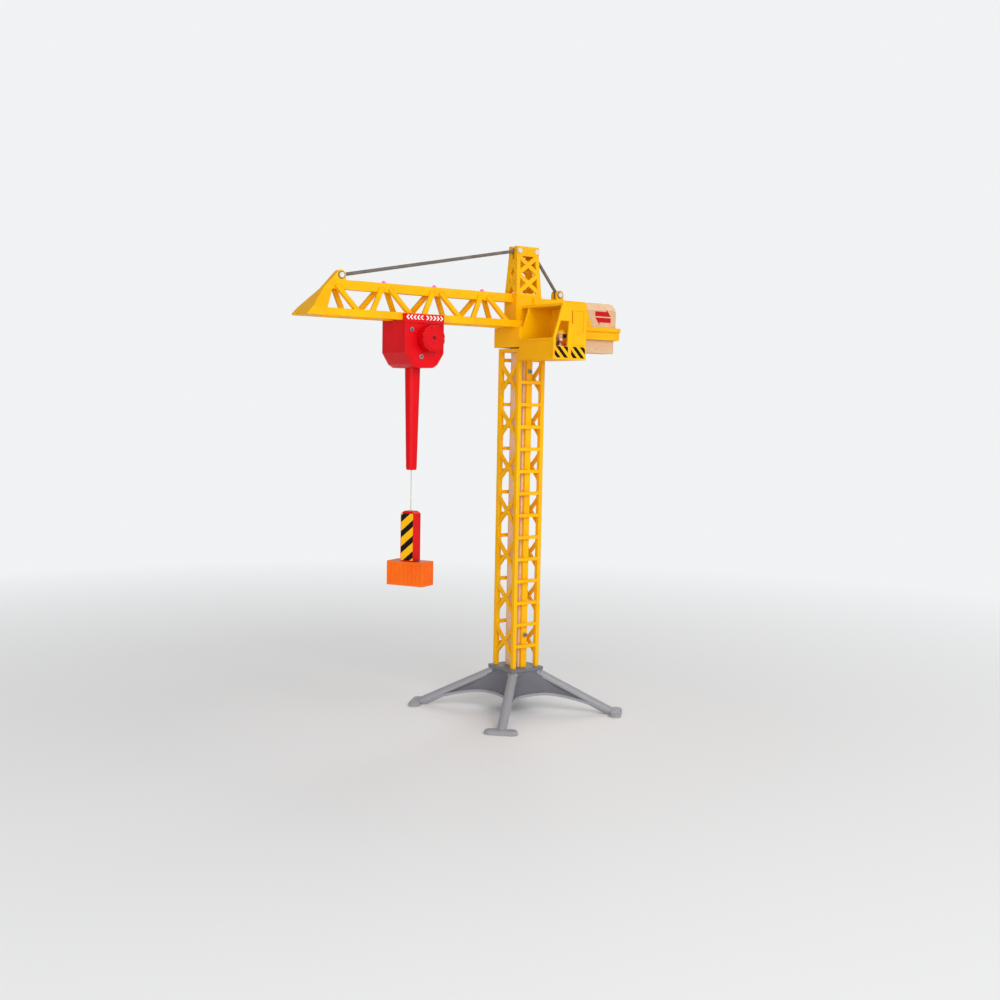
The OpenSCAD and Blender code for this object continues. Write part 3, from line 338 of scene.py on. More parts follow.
@dataclass(frozen=True)
class PlatedSteel(Finish):
    """Plated steel: bright metal with a fine brushed haze and duller patches from handling."""

    metallic: float = 1.0
    tint: str = "#9a9ca2"
    cloud_mm: float = 5.0
    brush_mm: float = 0.5
    brush_deep: float = 0.02
    edge_mm: float = 0.25

    def surface(self, tree: Tree) -> dict[str, object]:
        """Draw the plating's clouded colour, hazy roughness and brushed relief."""
        place = add_node(tree, "TexCoord", out="Object")
        cloud = add_node(tree, "TexNoise", {"Vector": place, "Scale": per_mm(self.cloud_mm), "Detail": 4.0})
        cloud = add_node(tree, "MapRange", [cloud, 0.35, 0.68])
        tone = add_node(tree, "Mix", {0: cloud, 6: linear(self.colour), 7: linear(self.tint)}, 2, data_type="RGBA")
        haze = add_node(tree, "MapRange", [cloud, 0.0, 1.0, self.roughness - 0.06, self.roughness + 0.12])
        brush = add_node(tree, "TexNoise", {"Vector": place, "Scale": per_mm(self.brush_mm), "Detail": 2.0})
        rounded = add_node(tree, "Bevel", {"Radius": self.edge_mm * MM}, samples=4)
        bump = add_node(tree, "Bump", {"Height": brush, "Distance": self.brush_deep * MM, "Strength": 0.4,
                                       "Normal": rounded})
        return {"Base Color": tone, "Roughness": haze, "Normal": bump}


@dataclass(frozen=True)
class SprayedEnamel(Finish):
    """Sprayed enamel or paint: slight orange peel, small rubs, a darker tone where it gathers."""

    tint: str = "#404040"
    patch_mm: float = 9.0
    peel_mm: float = 1.6
    peel_deep: float = 0.03
    edge_mm: float = 0.3

    def surface(self, tree: Tree) -> dict[str, object]:
        """Draw the mottled colour, satin roughness and orange-peel relief."""
        place = add_node(tree, "TexCoord", out="Object")
        patch = add_node(tree, "TexNoise", {"Vector": place, "Scale": per_mm(self.patch_mm), "Detail": 4.0})
        patch = add_node(tree, "MapRange", [patch, 0.35, 0.7])
        tone = add_node(tree, "Mix", {0: patch, 6: linear(self.colour), 7: linear(self.tint)}, 2, data_type="RGBA")
        satin = add_node(tree, "MapRange", [patch, 0.0, 1.0, self.roughness - 0.06, self.roughness + 0.1])
        peel = add_node(tree, "TexNoise", {"Vector": place, "Scale": per_mm(self.peel_mm), "Detail": 1.0})
        rounded = add_node(tree, "Bevel", {"Radius": self.edge_mm * MM}, samples=4)
        bump = add_node(tree, "Bump", {"Height": peel, "Distance": self.peel_deep * MM, "Strength": 0.4,
                                       "Normal": rounded})
        return {"Base Color": tone, "Roughness": satin, "Normal": bump}


@dataclass(frozen=True)
class LitAcrylic(Finish):
    """Tinted acrylic dome over a lit lamp: a bright pink core that deepens towards the socket."""

    core: str = "#ff6aa6"
    ior: float = 1.49
    base_z: float = 494.4
    top_z: float = 498.0
    cloud_mm: float = 1.2
    cloud_deep: float = 0.02
    glow: float = 1.1

    def surface(self, tree: Tree) -> dict[str, object]:
        """Draw the tint, the glow by height and a clear moulded surface."""
        place = add_node(tree, "TexCoord", out="Object")
        height = add_node(tree, "SeparateXYZ", [place], "Z")
        rise = add_node(tree, "MapRange", [height, self.base_z * MM, self.top_z * MM])
        cloud = add_node(tree, "TexNoise", {"Vector": place, "Scale": per_mm(self.cloud_mm), "Detail": 3.0})
        cloud = add_node(tree, "MapRange", [cloud, 0.2, 0.8, 0.75, 1.15])
        glow = add_node(tree, "Math", [rise, cloud], operation="MULTIPLY", use_clamp=True)
        tone = add_node(tree, "Mix", {0: glow, 6: linear(self.colour), 7: linear(self.core)}, 2, data_type="RGBA")
        clear = add_node(tree, "MapRange", [cloud, 0.75, 1.15, self.roughness, self.roughness + 0.12])
        bump = add_node(tree, "Bump", {"Height": cloud, "Distance": self.cloud_deep * MM, "Strength": 0.3})
        return {"Base Color": tone, "Emission Color": tone, "Emission Strength": self.glow, "Coat Weight": 0.6,
                "Coat Roughness": 0.06, "Roughness": clear, "Normal": bump}


@dataclass(frozen=True)
class BraidedCord(Finish):
    """Polyester cord: eight strands braided both ways, dull, with painted shade darkening the furrows."""

    # painted shade in the furrows between the strands
    furrow_shade: str = "#8f8876"
    furrow_deep: float = 0.12
    strands: float = 4.0  # strands each way

    def surface(self, tree: Tree) -> dict[str, object]:
        """Draw the two crossing strand sets from the cord's own map: round it, and along it in lays."""
        place = add_node(tree, "TexCoord", out="UV")
        parts = add_node(tree, "SeparateXYZ", [place]).node.outputs
        around = add_node(tree, "Math", [parts["X"], self.strands], operation="MULTIPLY")
        sets = []
        for way in ("ADD", "SUBTRACT"):
            lay = add_node(tree, "Math", [around, parts["Y"]], operation=way)
            turn = add_node(tree, "Math", [lay, 2 * math.pi], operation="MULTIPLY")
            sets.append(add_node(tree, "Math", [turn], operation="SINE"))
        crown = add_node(tree, "Math", sets, operation="MAXIMUM")
        crown = add_node(tree, "MapRange", [crown, -0.4, 1.0])
        # Painted shade: the furrows between strands are drawn darker.
        tone = add_node(tree, "Mix", {0: crown, 6: linear(self.furrow_shade), 7: linear(self.colour)}, 2, data_type="RGBA")
        dull = add_node(tree, "MapRange", [crown, 0.0, 1.0, self.roughness + 0.1, self.roughness])
        bump = add_node(tree, "Bump", {"Height": crown, "Distance": self.furrow_deep * MM})
        return {"Base Color": tone, "Roughness": dull, "Sheen Weight": 0.3, "Normal": bump}


@dataclass(frozen=True)
class PadInk(Finish):
    """Pad-printed ink: a thin even film, a little duller than the plastic, with pinholes."""

    through: str = "#ffffff"
    ior: float = 1.48
    gloss: float = 0.15
    pinhole_mm: float = 0.9
    mark_mm: float = 4.0
    mark_deep: float = 0.02

    def surface(self, tree: Tree) -> dict[str, object]:
        """Draw the film's colour with pinholes, and a faint relief."""
        place = add_node(tree, "TexCoord", out="Object")
        thin = add_node(tree, "TexNoise", {"Vector": place, "Scale": per_mm(self.pinhole_mm), "Detail": 4.0})
        thin = add_node(tree, "MapRange", [thin, 0.66, 0.74, 0.0, 0.45])
        tone = add_node(tree, "Mix", {0: thin, 6: linear(self.colour), 7: linear(self.through)}, 2, data_type="RGBA")
        marks = add_node(tree, "TexNoise", {"Vector": place, "Scale": per_mm(self.mark_mm), "Detail": 3.0})
        satin = add_node(tree, "MapRange", [marks, 0.3, 0.7, self.roughness - 0.05, self.roughness + 0.08])
        bump = add_node(tree, "Bump", {"Height": marks, "Distance": self.mark_deep * MM, "Strength": 0.3})
        return {"Base Color": tone, "Roughness": satin, "Normal": bump, "Specular IOR Level": self.gloss}


@dataclass(frozen=True)
class WorkJacket(SprayedEnamel):
    """Painted work jacket: dark front panel, pale reflective bands and bare hands."""

    panel: str = "#34383f"
    band: str = "#e9e6d6"
    skin: str = "#f0c2a4"
    belt: Point = (6.2, 1.1)  # height and half width
    strap: Point = (3.9, 0.8)  # distance from the middle and half width
    chest_z: float = 7.0
    front_x: float = -1.5
    panel_half: float = 2.1
    hands: tuple[Triple, ...] = ((-4.5, 8.6, 8.0), (-6.5, -7.6, 20.0))
    hand_r: float = 2.35

    def surface(self, tree: Tree) -> dict[str, object]:
        """Paint the bands, the front panel and the hands by their place on the figure."""
        made = super().surface(tree)
        place = add_node(tree, "TexCoord", out="Object")
        local = add_node(tree, "VectorMath", [place, at(*DRIVER)], operation="SUBTRACT")
        parts = add_node(tree, "SeparateXYZ", [local]).node.outputs
        side = add_node(tree, "Math", [parts["Y"]], operation="ABSOLUTE")
        belt = add_node(tree, "Math", [parts["Z"], *(b * MM for b in self.belt)], operation="COMPARE")
        strap = add_node(tree, "Math", [side, *(b * MM for b in self.strap)], operation="COMPARE")
        chest = add_node(tree, "Math", [parts["Z"], self.chest_z * MM], operation="GREATER_THAN")
        strap = add_node(tree, "Math", [strap, chest], operation="MULTIPLY")
        bands = add_node(tree, "Math", [belt, strap], operation="MAXIMUM")
        front = add_node(tree, "Math", [parts["X"], self.front_x * MM], operation="LESS_THAN")
        middle = add_node(tree, "Math", [side, self.panel_half * MM], operation="LESS_THAN")
        shirt = add_node(tree, "Math", [front, middle], operation="MULTIPLY")
        layers = [(bands, self.band), (shirt, self.panel)]
        for hand in self.hands:
            reach = add_node(tree, "VectorMath", [local, Vector(hand) * MM], "Value", operation="DISTANCE")
            layers.append((add_node(tree, "Math", [reach, self.hand_r * MM], operation="LESS_THAN"), self.skin))
        for share, code in layers:
            made["Base Color"] = add_node(tree, "Mix", {0: share, 6: made["Base Color"], 7: linear(code)}, 2,
                                          data_type="RGBA")
        return made


YELLOW = MouldedAbs("abs_yellow_moulded", "#ffc000", 0.4, tint="#fdb500", rub_and_highlight="#ffd64a", gloss=0.14)
YELLOW_FINE = MouldedAbs("abs_yellow_moulded_lattice", "#ffc000", 0.4, tint="#fcb300", rub_and_highlight="#ffd64a", gloss=0.14,
                         edge_mm=0.8)
GREY = MouldedAbs("abs_grey_moulded", "#77777d", 0.45, tint="#6d6d74", rub_and_highlight="#aeaeb2", edge_mm=0.8)
GREY_BASE = PanelledAbs("abs_grey_moulded_panels", "#6f6f75", 0.52, tint="#66666d", rub_and_highlight="#98989d", edge_mm=0.8)
RED = MouldedAbs("abs_red_moulded", "#e60012", 0.36, tint="#da000e", rub_and_highlight="#ff4a46", edge_mm=0.9, gloss=0.16)
ORANGE = MouldedAbs("abs_orange_moulded", "#ff7414", 0.4, tint="#fb690c", rub_and_highlight="#ffa35c", edge_mm=0.4, gloss=0.16)
BLACK = MouldedAbs("abs_black_moulded", "#232326", 0.45, tint="#1b1b1e", rub_and_highlight="#55555a", edge_mm=0.3)
WHITE = MouldedAbs("acetal_white_moulded", "#e2dfd4", 0.35, tint="#d6d2c4", rub_and_highlight="#f6f4ee", edge_mm=0.3)
# The core's beech is painted paler than the block's: painted light standing in for the light the core lacks in the
# mast's shade.
BEECH_CORE_LIT = SandedBeech("beech_sanded_core", "#f6dabc", 0.5, late="#e6bd96", pith=(-0.078, 0.034, 0.0))
BEECH_BLOCK = SandedBeech("beech_sanded_block", "#ecc7a0", 0.48, late="#d6a97e", grain=GrainAxis.ALONG_X,
                          pith=(0.41, 0.06, 0.0))
ZINC = PlatedSteel("steel_zinc_plated", "#b4b6bb", 0.34, tint="#85878d")
NICKEL = PlatedSteel("magnet_nickel_plated", "#cfcac0", 0.2, tint="#b3ada2")
ROD = SprayedEnamel("steel_rod_enamelled", "#776e66", 0.34, tint="#635b54")
LAMP = LitAcrylic("acrylic_lamp_dome", "#ff1450", 0.12)
CORD = BraidedCord("polyester_cord_braided", "#f3e8c8", 0.75)
WIRE = SprayedEnamel("pvc_wire_sleeve", "#a01818", 0.5, tint="#861010")
INK_BLACK = PadInk("ink_black_printed", "#0e0d0d", 0.5, through="#5a4a14")
INK_WHITE = PadInk("ink_white_printed", "#f4f2ee", 0.4, through="#f0c0c0")
INK_RED = PadInk("ink_red_printed", "#c8101c", 0.5, through="#d88a6a")
INK_YELLOW = PadInk("ink_yellow_printed", "#ffbc08", 0.45, through="#f09a10")
JACKET = WorkJacket("paint_jacket_orange", "#f4701c", 0.5, tint="#e05f10")
SKIN = SprayedEnamel("paint_skin_tone", "#f0c2a4", 0.5, tint="#e8b394")
HELMET = SprayedEnamel("paint_helmet_yellow", "#fbc010", 0.25, tint="#f2b008")
# Black paint on the ear defenders and the eyes; on the screws' cross drives it is painted shade standing for the
# recess.
DARK_PAINT_AND_SHADE = SprayedEnamel("paint_black_satin_and_shade", "#1d1d20", 0.45, tint="#2a2a2e")


def dress(finish: Finish, *names: str) -> None:
    """Give CAD nodes a finish.

    Args:
        finish: The finish.
        *names: Node names.
    """
    for name in names:
        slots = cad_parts[name].data.materials
        slots.clear()
        slots.append(finish.material())
        LOG.info("dressed %s in %s", name, finish.name)


def make_piece(name: str, bm: bmesh.types.BMesh, body: str | None, slot: str, *finishes: Finish,
               smooth: bool = False) -> bpy.types.Object:
    """Turn a bmesh into a piece that rides on a body.

    Args:
        name: Name of the piece.
        bm: Its mesh, in the frame's metres. It is freed.
        body: Body that carries it, or None for a piece between two bodies.
        slot: Material slot of the record; not used.
        *finishes: Finishes, in the order of the faces' material numbers.
        smooth: Whether its faces are shaded as one curve.

    Returns:
        The new object.
    """
    bmesh.ops.recalc_face_normals(bm, faces=bm.faces)
    for face in bm.faces:
        face.smooth = smooth
    mesh = bpy.data.meshes.new(name)
    bm.to_mesh(mesh)
    bm.free()
    for finish in finishes:
        mesh.materials.append(finish.material())
    made = bpy.data.objects.new(name, mesh)
    bpy.context.scene.collection.objects.link(made)
    if body:
        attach(made, body)
    LOG.info("made %s on %s", name, body or "two bodies")
    return made


@dataclass(frozen=True)
class Stripes:
    """Slanting stripes, in mm along the print's lower edge."""

    pitch: float
    dark: float
    first: float
    lean: float  # run sideways for each mm up


@dataclass(frozen=True)
class PrintPlace:
    """A flat place on the crane that takes a print."""

    origin: Vector
    right: Vector
    up: Vector

    def film(self, bm: bmesh.types.BMesh, faces: list) -> None:
        """Thicken faces drawn in mm in the XY plane to a film, and lay it on this place.

        Args:
            bm: The mesh.
            faces: Its flat faces.
        """
        raised = bmesh.ops.extrude_face_region(bm, geom=faces, use_keep_orig=True)["geom"]
        tops = [v for v in raised if isinstance(v, bmesh.types.BMVert)]
        bmesh.ops.translate(bm, vec=(0.0, 0.0, FILM), verts=tops)
        turn = Matrix((self.right, self.up, self.right.cross(self.up))).transposed().to_4x4()
        verts = list({v for face in faces for v in face.verts} | set(tops))
        bmesh.ops.transform(bm, matrix=Matrix.Translation(self.origin) @ turn @ Matrix.Scale(MM, 4), verts=verts)

    def print_shapes(self, bm: bmesh.types.BMesh, outlines: list[list[Point]]) -> None:
        """Print separate shapes.

        Args:
            bm: The mesh that takes them.
            outlines: Corners of each shape in order, in mm.
        """
        self.film(bm, [bm.faces.new([bm.verts.new((x, y, 0.0)) for x, y in ends]) for ends in outlines])

    def print_stripes(self, bm: bmesh.types.BMesh, size: Point, stripes: Stripes, keep_light: bool) -> None:
        """Print a rectangle that is cut into slanting stripes.

        Args:
            bm: The mesh that takes it.
            size: Width and height in mm, from the lower left corner.
            stripes: The stripes.
            keep_light: Whether the light stripes are printed too, as material 1.
        """
        pitch, first, lean = stripes.pitch, stripes.first, stripes.lean
        corners = [(0, 0), (size[0], 0), size, (0, size[1])]
        bm.faces.new([bm.verts.new((x, y, 0.0)) for x, y in corners])
        across = Vector((1.0, -lean, 0.0)).normalized()
        spread = math.ceil((size[0] + abs(lean) * size[1]) / pitch) + 1
        for start in (first + i * pitch + part for i in range(-spread, spread) for part in (0.0, stripes.dark)):
            geom = bm.verts[:] + bm.edges[:] + bm.faces[:]
            bmesh.ops.bisect_plane(bm, geom=geom, dist=1e-6, plane_co=(start, 0.0, 0.0), plane_no=across)
        light = []
        for face in bm.faces:
            middle = face.calc_center_median()
            if (middle.x - lean * middle.y - first) % pitch > stripes.dark:
                light.append(face)
                face.material_index = 1
        if not keep_light:
            bmesh.ops.delete(bm, geom=light, context="FACES")
        self.film(bm, bm.faces[:])


def cross_shape(reach: float, half: float) -> list[Point]:
    """Outline the cross of a screw's drive.

    Args:
        reach: Distance from the middle to an arm's end in mm.
        half: Half the width of an arm in mm.

    Returns:
        Its twelve corners.
    """
    arm = [(half, half), (half, reach), (-half, reach)]
    turned = []
    for k in range(4):
        c, s = math.cos(k * math.pi / 2), math.sin(k * math.pi / 2)
        turned += [(x * c - y * s, x * s + y * c) for x, y in arm]
    return turned


def add_drives(name: str, body: str, heads: list[PrintPlace], reach: float) -> None:
    """Mark the cross drive on screw heads of one body as a flat dark film: painted shade for the drive's recess.

    Args:
        name: Name of the piece.
        body: Body that carries the screws.
        heads: Middle and directions of each head.
        reach: Reach of the cross in mm.
    """
    bm = bmesh.new()
    for head in heads:
        head.print_shapes(bm, [cross_shape(reach, reach * CROSS_HALF)])
    # the dark cross is painted shade: the real drive is a recess that reads dark from its own shade
    make_piece(name, bm, body, "screw_steel", DARK_PAINT_AND_SHADE)


@dataclass(frozen=True)
class Lamp:
    """A square soft lamp."""

    name: str
    place: Triple
    watts: float
    size: float

    def build(self, target: Triple) -> None:
        """Hang the lamp so that it looks at a target.

        Args:
            target: The target, in metres.
        """
        data = bpy.data.lights.new(self.name, "AREA")
        data.energy, data.size = self.watts, self.size
        made = bpy.data.objects.new(self.name, data)
        made.location = self.place
        made.rotation_euler = (Vector(target) - made.location).to_track_quat("-Z", "Y").to_euler()
        bpy.context.scene.collection.objects.link(made)


@dataclass
class Studio:
    """Camera, soft light and a plain pale floor, in metres."""

    eye: Triple = (-0.8462, -1.182, 0.366)
    turn_deg: Triple = (84.766, -1.0, -36.149)
    lens: float = 45.38
    shift: Point = (0.02, 0.02)
    backdrop: str = "#f7f8f9"
    seen: float = 0.95  # how bright the backdrop looks
    ambient: float = 0.4  # how strongly it lights
    floor_tone: str = "#f4f4f4"
    floor_r: float = 9.0
    floor_fade: Point = (0.35, 1.5)  # distances at which the floor starts to fade and is gone
    target: Triple = (0.0, 0.0, 0.28)
    lamps: tuple[Lamp, ...] = (
        Lamp("key", (-0.5, -2.6, 1.9), 42.0, 1.8),
        Lamp("front", (-1.9, -1.7, 0.5), 19.0, 1.5),
        Lamp("right", (1.9, -2.1, 1.2), 9.0, 1.8),
        Lamp("rim", (2.2, 1.7, 2.0), 22.0, 1.8))

    def build(self) -> None:
        """Set up the camera, the lamps, the world and the floor."""
        data = bpy.data.cameras.new("camera")
        data.lens = self.lens
        data.shift_x, data.shift_y = self.shift
        camera = bpy.data.objects.new("camera", data)
        camera.location = self.eye
        camera.rotation_euler = [math.radians(a) for a in self.turn_deg]
        bpy.context.scene.collection.objects.link(camera)
        bpy.context.scene.camera = camera
        bpy.context.scene.view_settings.view_transform = "Standard"
        for lamp in self.lamps:
            lamp.build(self.target)
        self.world()
        self.floor()

    def world(self) -> None:
        """Make an even white world, seen at full white and lighting at a plain level."""
        world = bpy.data.worlds.new("studio")
        world.use_nodes = True
        bpy.context.scene.world = world
        tree = world.node_tree
        seen = add_node(tree, "LightPath", out="Is Camera Ray")
        strength = add_node(tree, "MapRange", [seen, 0.0, 1.0, self.ambient, self.seen])
        sky = tree.nodes["Background"]
        sky.inputs["Color"].default_value = linear(self.backdrop)
        tree.links.new(strength, sky.inputs["Strength"])

    def floor(self) -> None:
        """Lay a round pale floor that fades into the world far from the crane."""
        bm = bmesh.new()
        bmesh.ops.create_circle(bm, cap_ends=True, segments=96, radius=self.floor_r)
        mesh = bpy.data.meshes.new("floor")
        bm.to_mesh(mesh)
        bm.free()
        made = bpy.data.objects.new("floor", mesh)
        bpy.context.scene.collection.objects.link(made)
        finish = bpy.data.materials.new("studio_floor")
        finish.use_nodes = True
        tree = finish.node_tree
        matt = tree.nodes["Principled BSDF"]
        matt.inputs["Base Color"].default_value = linear(self.floor_tone)
        matt.inputs["Roughness"].default_value = 0.85
        place = add_node(tree, "TexCoord", out="Object")
        away = add_node(tree, "VectorMath", [place], "Value", operation="LENGTH")
        fade = add_node(tree, "MapRange", [away, *self.floor_fade])
        seen = add_node(tree, "LightPath", out="Is Camera Ray")
        share = add_node(tree, "Math", [fade, seen], operation="MULTIPLY")
        glow = add_node(tree, "Emission", {"Color": linear(self.backdrop), "Strength": self.seen})
        both = add_node(tree, "MixShader", [share, matt.outputs[0], glow])
        tree.links.new(both, tree.nodes["Material Output"].inputs["Surface"])
        mesh.materials.append(finish)


@dataclass
class Hoist:
    """Cord, magnet casing and load below the trolley."""

    cord_top: float = 437.0
    cord_low: float = 238.0
    cord_d: float = 1.0
    sides: int = 12
    rings: int = 80
    lay_mm: float = 2.6
    path_steps: int = 30
    grip: float = 4.0  # length at the drum that doesn't stretch
    casing_w: float = 16.3
    casing_z: Point = (190.0, 246.0)
    stripe: Stripes = Stripes(20.1, 8.8, 2.7, 1.15)
    stripe_edge: Triple = (0.5, 0.8, 2.6)  # bare margin at the sides, below and above

    def build(self) -> None:
        """Make the cord and the striped film, and dress the hanging pieces."""
        self.cord()
        dress(RED, "magnet_casing")
        dress(NICKEL, "magnet")
        dress(ORANGE, "load_shell")
        dress(ZINC, "load_plate")
        self.stripes()

    def cord(self) -> None:
        """Make the braided cord from the winch's height down into the magnet casing, carried by no body."""
        bm = bmesh.new()
        lay = bm.loops.layers.uv.new("lay")
        end = bmesh.ops.create_circle(bm, cap_ends=True, segments=self.sides, radius=self.cord_d / 2 * MM,
                                      matrix=Matrix.Translation(at(TROLLEY_X, 0, self.cord_top)))
        step = (self.cord_low - self.cord_top) / self.rings * MM
        loop = list({e for v in end["verts"] for e in v.link_edges})
        for _ in range(self.rings):
            grown = bmesh.ops.extrude_edge_only(bm, edges=loop)["geom"]
            bmesh.ops.translate(bm, vec=(0, 0, step), verts=[v for v in grown if isinstance(v, bmesh.types.BMVert)])
            loop = [e for e in grown if isinstance(e, bmesh.types.BMEdge)]
        bmesh.ops.contextual_create(bm, geom=loop)
        middle = at(TROLLEY_X, 0, 0)
        for face in bm.faces:
            centre = face.calc_center_median() - middle
            base = math.atan2(centre.y, centre.x)
            for corner in face.loops:
                arm = corner.vert.co - middle
                swing = (math.atan2(arm.y, arm.x) - base + math.pi) % (2 * math.pi) - math.pi
                corner[lay].uv = ((base + swing) / (2 * math.pi), corner.vert.co.z / (self.lay_mm * MM))
        made = make_piece("hoist_cord_braid", bm, None, "cord_white", CORD, smooth=True)
        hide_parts("hoist_cord")
        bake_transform(made)

    def stripes(self) -> None:
        """Print slanting hazard stripes on the casing's face towards the jib's nose."""
        side, below, above = self.stripe_edge
        size = (self.casing_w - 2 * side, self.casing_z[1] - self.casing_z[0] - below - above)
        turn = Matrix.Rotation(math.radians(HANG_TURN), 3, "Z")
        right = turn @ Vector((0, -1, 0))
        out = turn @ Vector((-1, 0, 0))
        corner = at(TROLLEY_X, 0, self.casing_z[0] + below) + (out * self.casing_w / 2 - right * size[0] / 2) * MM
        bm = bmesh.new()
        PrintPlace(corner, right, UP).print_stripes(bm, size, self.stripe, True)
        make_piece("magnet_stripes", bm, "hook", "red_plastic", INK_BLACK, INK_YELLOW)


@dataclass
class Trolley:
    """Two half shells with the winch, the tube and the runner."""

    strip_y: float = 23.5
    chevron_z: float = 459.2
    chevron: Triple = (2.4, 4.9, 2.0)  # run of the point, height and stroke
    first: float = 1.4
    pitch: float = 4.6
    count: int = 5
    screws: tuple[Point, ...] = ((-169.5, 446.0), (-156.9, 417.0))
    screw_y: float = -23.1
    drive: float = 1.5
    winch_screw_y: float = -31.1
    winch_drive: float = 1.4

    def build(self) -> None:
        """Dress the trolley, print the chevrons on both sides and mark the screws."""
        dress(RED, "trolley_front", "trolley_rear", "trolley_runner", "hoist_tube", "winch_knob")
        dress(ZINC, "trolley_screws", "winch_screw")
        dress(WHITE, "winch_drum")
        dress(CORD, "winch_winding")
        for side, name in ((-1, "front"), (1, "rear")):
            self.chevrons(side, "trolley_chevrons_" + name)
        heads = [PrintPlace(at(x, self.screw_y, z), ALONG, UP) for x, z in self.screws]
        add_drives("trolley_screw_drives", "trolley", heads, self.drive)
        winch = PrintPlace(at(WINCH[0], self.winch_screw_y, WINCH[1]), ALONG, UP)
        add_drives("winch_screw_drive", "winch", [winch], self.winch_drive)

    def chevrons(self, side: int, name: str) -> None:
        """Print two rows of chevrons that point away from each other.

        Args:
            side: Side of the trolley along Y.
            name: Name of the piece.
        """
        run, height, stroke = self.chevron
        shapes = []
        for way in (-1, 1):
            for i in range(self.count):
                x = way * (self.first + i * self.pitch)
                shapes.append([(x, -height / 2), (x + way * stroke, -height / 2), (x + way * (stroke + run), 0),
                               (x + way * stroke, height / 2), (x, height / 2), (x + way * run, 0)])
        bm = bmesh.new()
        PrintPlace(at(TROLLEY_X, side * self.strip_y, self.chevron_z), -side * ALONG, UP).print_shapes(bm, shapes)
        make_piece(name, bm, "trolley", "red_plastic", INK_WHITE)


@dataclass
class Cab:
    """Cab with its driver."""

    face_y: float = -86.0
    low_z: float = 420.0
    band_h: float = 12.6
    groups: tuple[Point, ...] = ((-21.0, 19.4), (3.0, 20.6))  # start along the jib and width of each
    stripe: Stripes = Stripes(10.8, 5.6, 3.4, -1.0)
    head_r: float = 5.8
    eye: Triple = (-5.45, 1.9, -0.7)
    eye_r: float = 0.66
    eye_net: tuple[int, int] = (16, 10)
    mouth: Triple = (2.1, 0.24, 80.0)  # radius of the curve, half thickness, and sweep in degrees
    mouth_low: float = -1.3
    mouth_net: tuple[int, int] = (8, 12)  # corners round it and steps along it

    def build(self) -> None:
        """Dress the cab and the driver, and print the hazard stripes."""
        dress(YELLOW, "cab_shell", "cab_side", "cab_roof")
        dress(JACKET, "driver_body", "driver_arms")
        dress(SKIN, "driver_head")
        dress(HELMET, "driver_helmet")
        dress(DARK_PAINT_AND_SHADE, "driver_ear_defenders")
        for i, (start, width) in enumerate(self.groups):
            bm = bmesh.new()
            place = PrintPlace(at(start, self.face_y, self.low_z), ALONG, UP)
            place.print_stripes(bm, (width, self.band_h), self.stripe, False)
            make_piece(f"cab_stripes_{i + 1}", bm, "head", "yellow_plastic", INK_BLACK)
        self.features()

    def features(self) -> None:
        """Give the driver two plain eyes and a short curved mouth."""
        x, y, z = DRIVER
        head = at(x, y, z + HEAD_Z)
        bm = bmesh.new()
        for side in (-1, 1):
            spot = Vector((self.eye[0], side * self.eye[1], self.eye[2])).normalized() * self.head_r * MM
            bmesh.ops.create_uvsphere(bm, u_segments=self.eye_net[0], v_segments=self.eye_net[1],
                                      radius=self.eye_r * MM, matrix=Matrix.Translation(head + spot))
        bend, half, sweep = self.mouth
        depth = math.sqrt(self.head_r ** 2 - bend ** 2)
        centre = head + Vector((-depth, 0, self.mouth_low)) * MM
        start = Matrix.Rotation(math.radians(90 - sweep / 2), 3, "X") @ Vector((0, -bend, 0)) * MM
        sides, steps = self.mouth_net
        ring = bmesh.ops.create_circle(bm, segments=sides, radius=half * MM,
                                       matrix=Matrix.Translation(centre + start))
        edges = list({e for v in ring["verts"] for e in v.link_edges})
        bmesh.ops.spin(bm, geom=ring["verts"] + edges, cent=centre, axis=ALONG, angle=math.radians(sweep),
                       steps=steps)
        bmesh.ops.holes_fill(bm, edges=[e for e in bm.edges if e.is_boundary], sides=sides)
        make_piece("driver_eyes", bm, "head", "ear_black", DARK_PAINT_AND_SHADE, smooth=True)


@dataclass
class CounterJib:
    """Frames, battery box and the sliding wooden block."""

    block_y: float = 11.0
    sign: Point = (116.0, 475.0)
    arrow: tuple[float, float, float, float] = (25.5, 5.8, 7.2, 9.0)  # length, shaft, head's length, head's reach
    split: float = 0.8
    screw: Point = (61.0, 443.6)
    drive: float = 1.4

    def build(self) -> None:
        """Dress the counter-jib and print the two half arrows on both sides of the block."""
        dress(YELLOW, "counter_jib_near", "counter_jib_far", "counter_jib_bridge", "rail_end_stop", "battery_cover")
        dress(BLACK, "battery_box", "light_switch")
        dress(ZINC, "battery_cells", "battery_screw")
        dress(BEECH_BLOCK, "counterweight")
        for side, name in ((-1, "near"), (1, "far")):
            self.arrows(side, "weight_arrows_" + name)
        below = PrintPlace(at(self.screw[0], 0, self.screw[1]), ALONG, Vector((0, -1, 0)))
        add_drives("battery_screw_drive", "head", [below], self.drive)

    def arrows(self, side: int, name: str) -> None:
        """Print two half arrows that point opposite ways.

        Args:
            side: Side of the block along Y.
            name: Name of the piece.
        """
        length, shaft, head, barb = self.arrow
        low, end = self.split, length / 2
        half = [(-end, low), (end, low), (end - head, low + barb), (end - head, low + shaft), (-end, low + shaft)]
        bm = bmesh.new()
        place = PrintPlace(at(self.sign[0], side * self.block_y, self.sign[1]), -side * ALONG, UP)
        place.print_shapes(bm, [[(way * x, way * y) for x, y in half] for way in (1, -1)])
        make_piece(name, bm, "counterweight", "beech_wood", INK_RED)


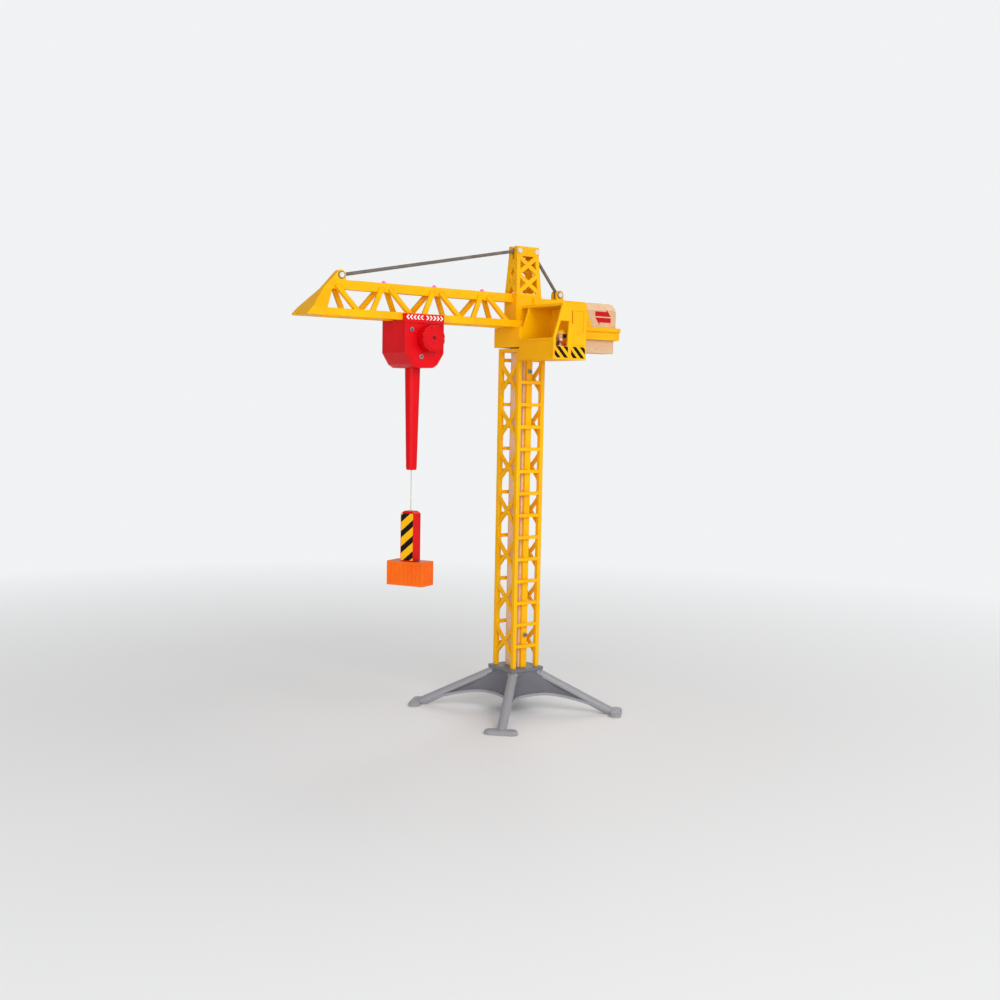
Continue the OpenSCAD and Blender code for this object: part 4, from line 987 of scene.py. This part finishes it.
@dataclass
class Head:
    """Slewing housing, tower, ties and jib."""

    pins: tuple[Triple, ...] = ((-247.0, 500.0, 4.0), (52.0, 498.0, 5.0))  # outer pins: place and half length
    ring: Triple = (3.05, 4.1, 0.6)  # inner and outer radius, and thickness
    steps: int = 32

    def build(self) -> None:
        """Dress the head and add the dark rings round the outer tie pins."""
        dress(YELLOW, "head_housing", "head_deck", "tower_base", "mast_cap")
        dress(YELLOW_FINE, "tower_top", "jib_top_chord", "jib_near_truss", "jib_far_truss", "jib_nose")
        dress(WHITE, "tie_pins")
        dress(ROD, "front_tie_rod", "rear_tie_rod")
        dress(LAMP, "jib_lights")
        dress(WIRE, "light_wires")
        inner, outer, thick = self.ring
        bm = bmesh.new()
        for x, z, reach in self.pins:
            for side in (-1, 1):
                start = at(x, side * reach, z)
                first = [bm.verts.new(start + Vector((r, side * y, 0)) * MM)
                         for r, y in ((inner, 0), (outer, 0), (outer, thick), (inner, thick))]
                loop = [bm.edges.new((a, b)) for a, b in zip(first, first[1:] + first[:1])]
                bmesh.ops.spin(bm, geom=first + loop, cent=start, axis=(0, 1, 0), angle=2 * math.pi, steps=self.steps,
                               use_merge=True)
        bmesh.ops.remove_doubles(bm, verts=bm.verts, dist=1e-6)
        make_piece("tie_pin_rings", bm, "head", "rod_grey", ROD)


@dataclass
class Stand:
    """Base and mast."""

    mast_screw_z: Point = (405.675, 93.075)
    mast_screw_y: float = 17.1
    mast_drive: float = 1.5
    base_screw: Point = (12.0, 45.2)  # distance along X and Y, and height
    base_drive: float = 1.6

    def build(self) -> None:
        """Dress the base and the mast, and mark the screws."""
        dress(GREY_BASE, "base_frame")
        dress(GREY, "base_deck", "slew_spindle")
        dress(ZINC, "base_screws", "mast_screws", "slew_washer", "slew_screw")
        dress(YELLOW_FINE, "mast_left_panel", "mast_right_panel", "mast_front_ladder", "mast_rear_ladder")
        dress(BEECH_CORE_LIT, "mast_core")
        heads = [PrintPlace(at(0, side * self.mast_screw_y, z), -side * ALONG, UP)
                 for z in self.mast_screw_z for side in (-1, 1)]
        add_drives("mast_screw_drives", "base", heads, self.mast_drive)
        out, low = self.base_screw
        below = [PrintPlace(at(x * out, y * out, low), ALONG, Vector((0, -1, 0)))
                 for x in (-1, 1) for y in (-1, 1)]
        add_drives("base_screw_drives", "base", below, self.base_drive)


def main() -> None:
    """Build the studio and each sub-assembly."""
    logging.basicConfig(level=logging.INFO, format="%(name)s: %(message)s")
    for part in (Studio(), Hoist(), Stand(), Head(), Cab(), CounterJib(), Trolley()):
        part.build()


if __name__ == "__main__":
    main()
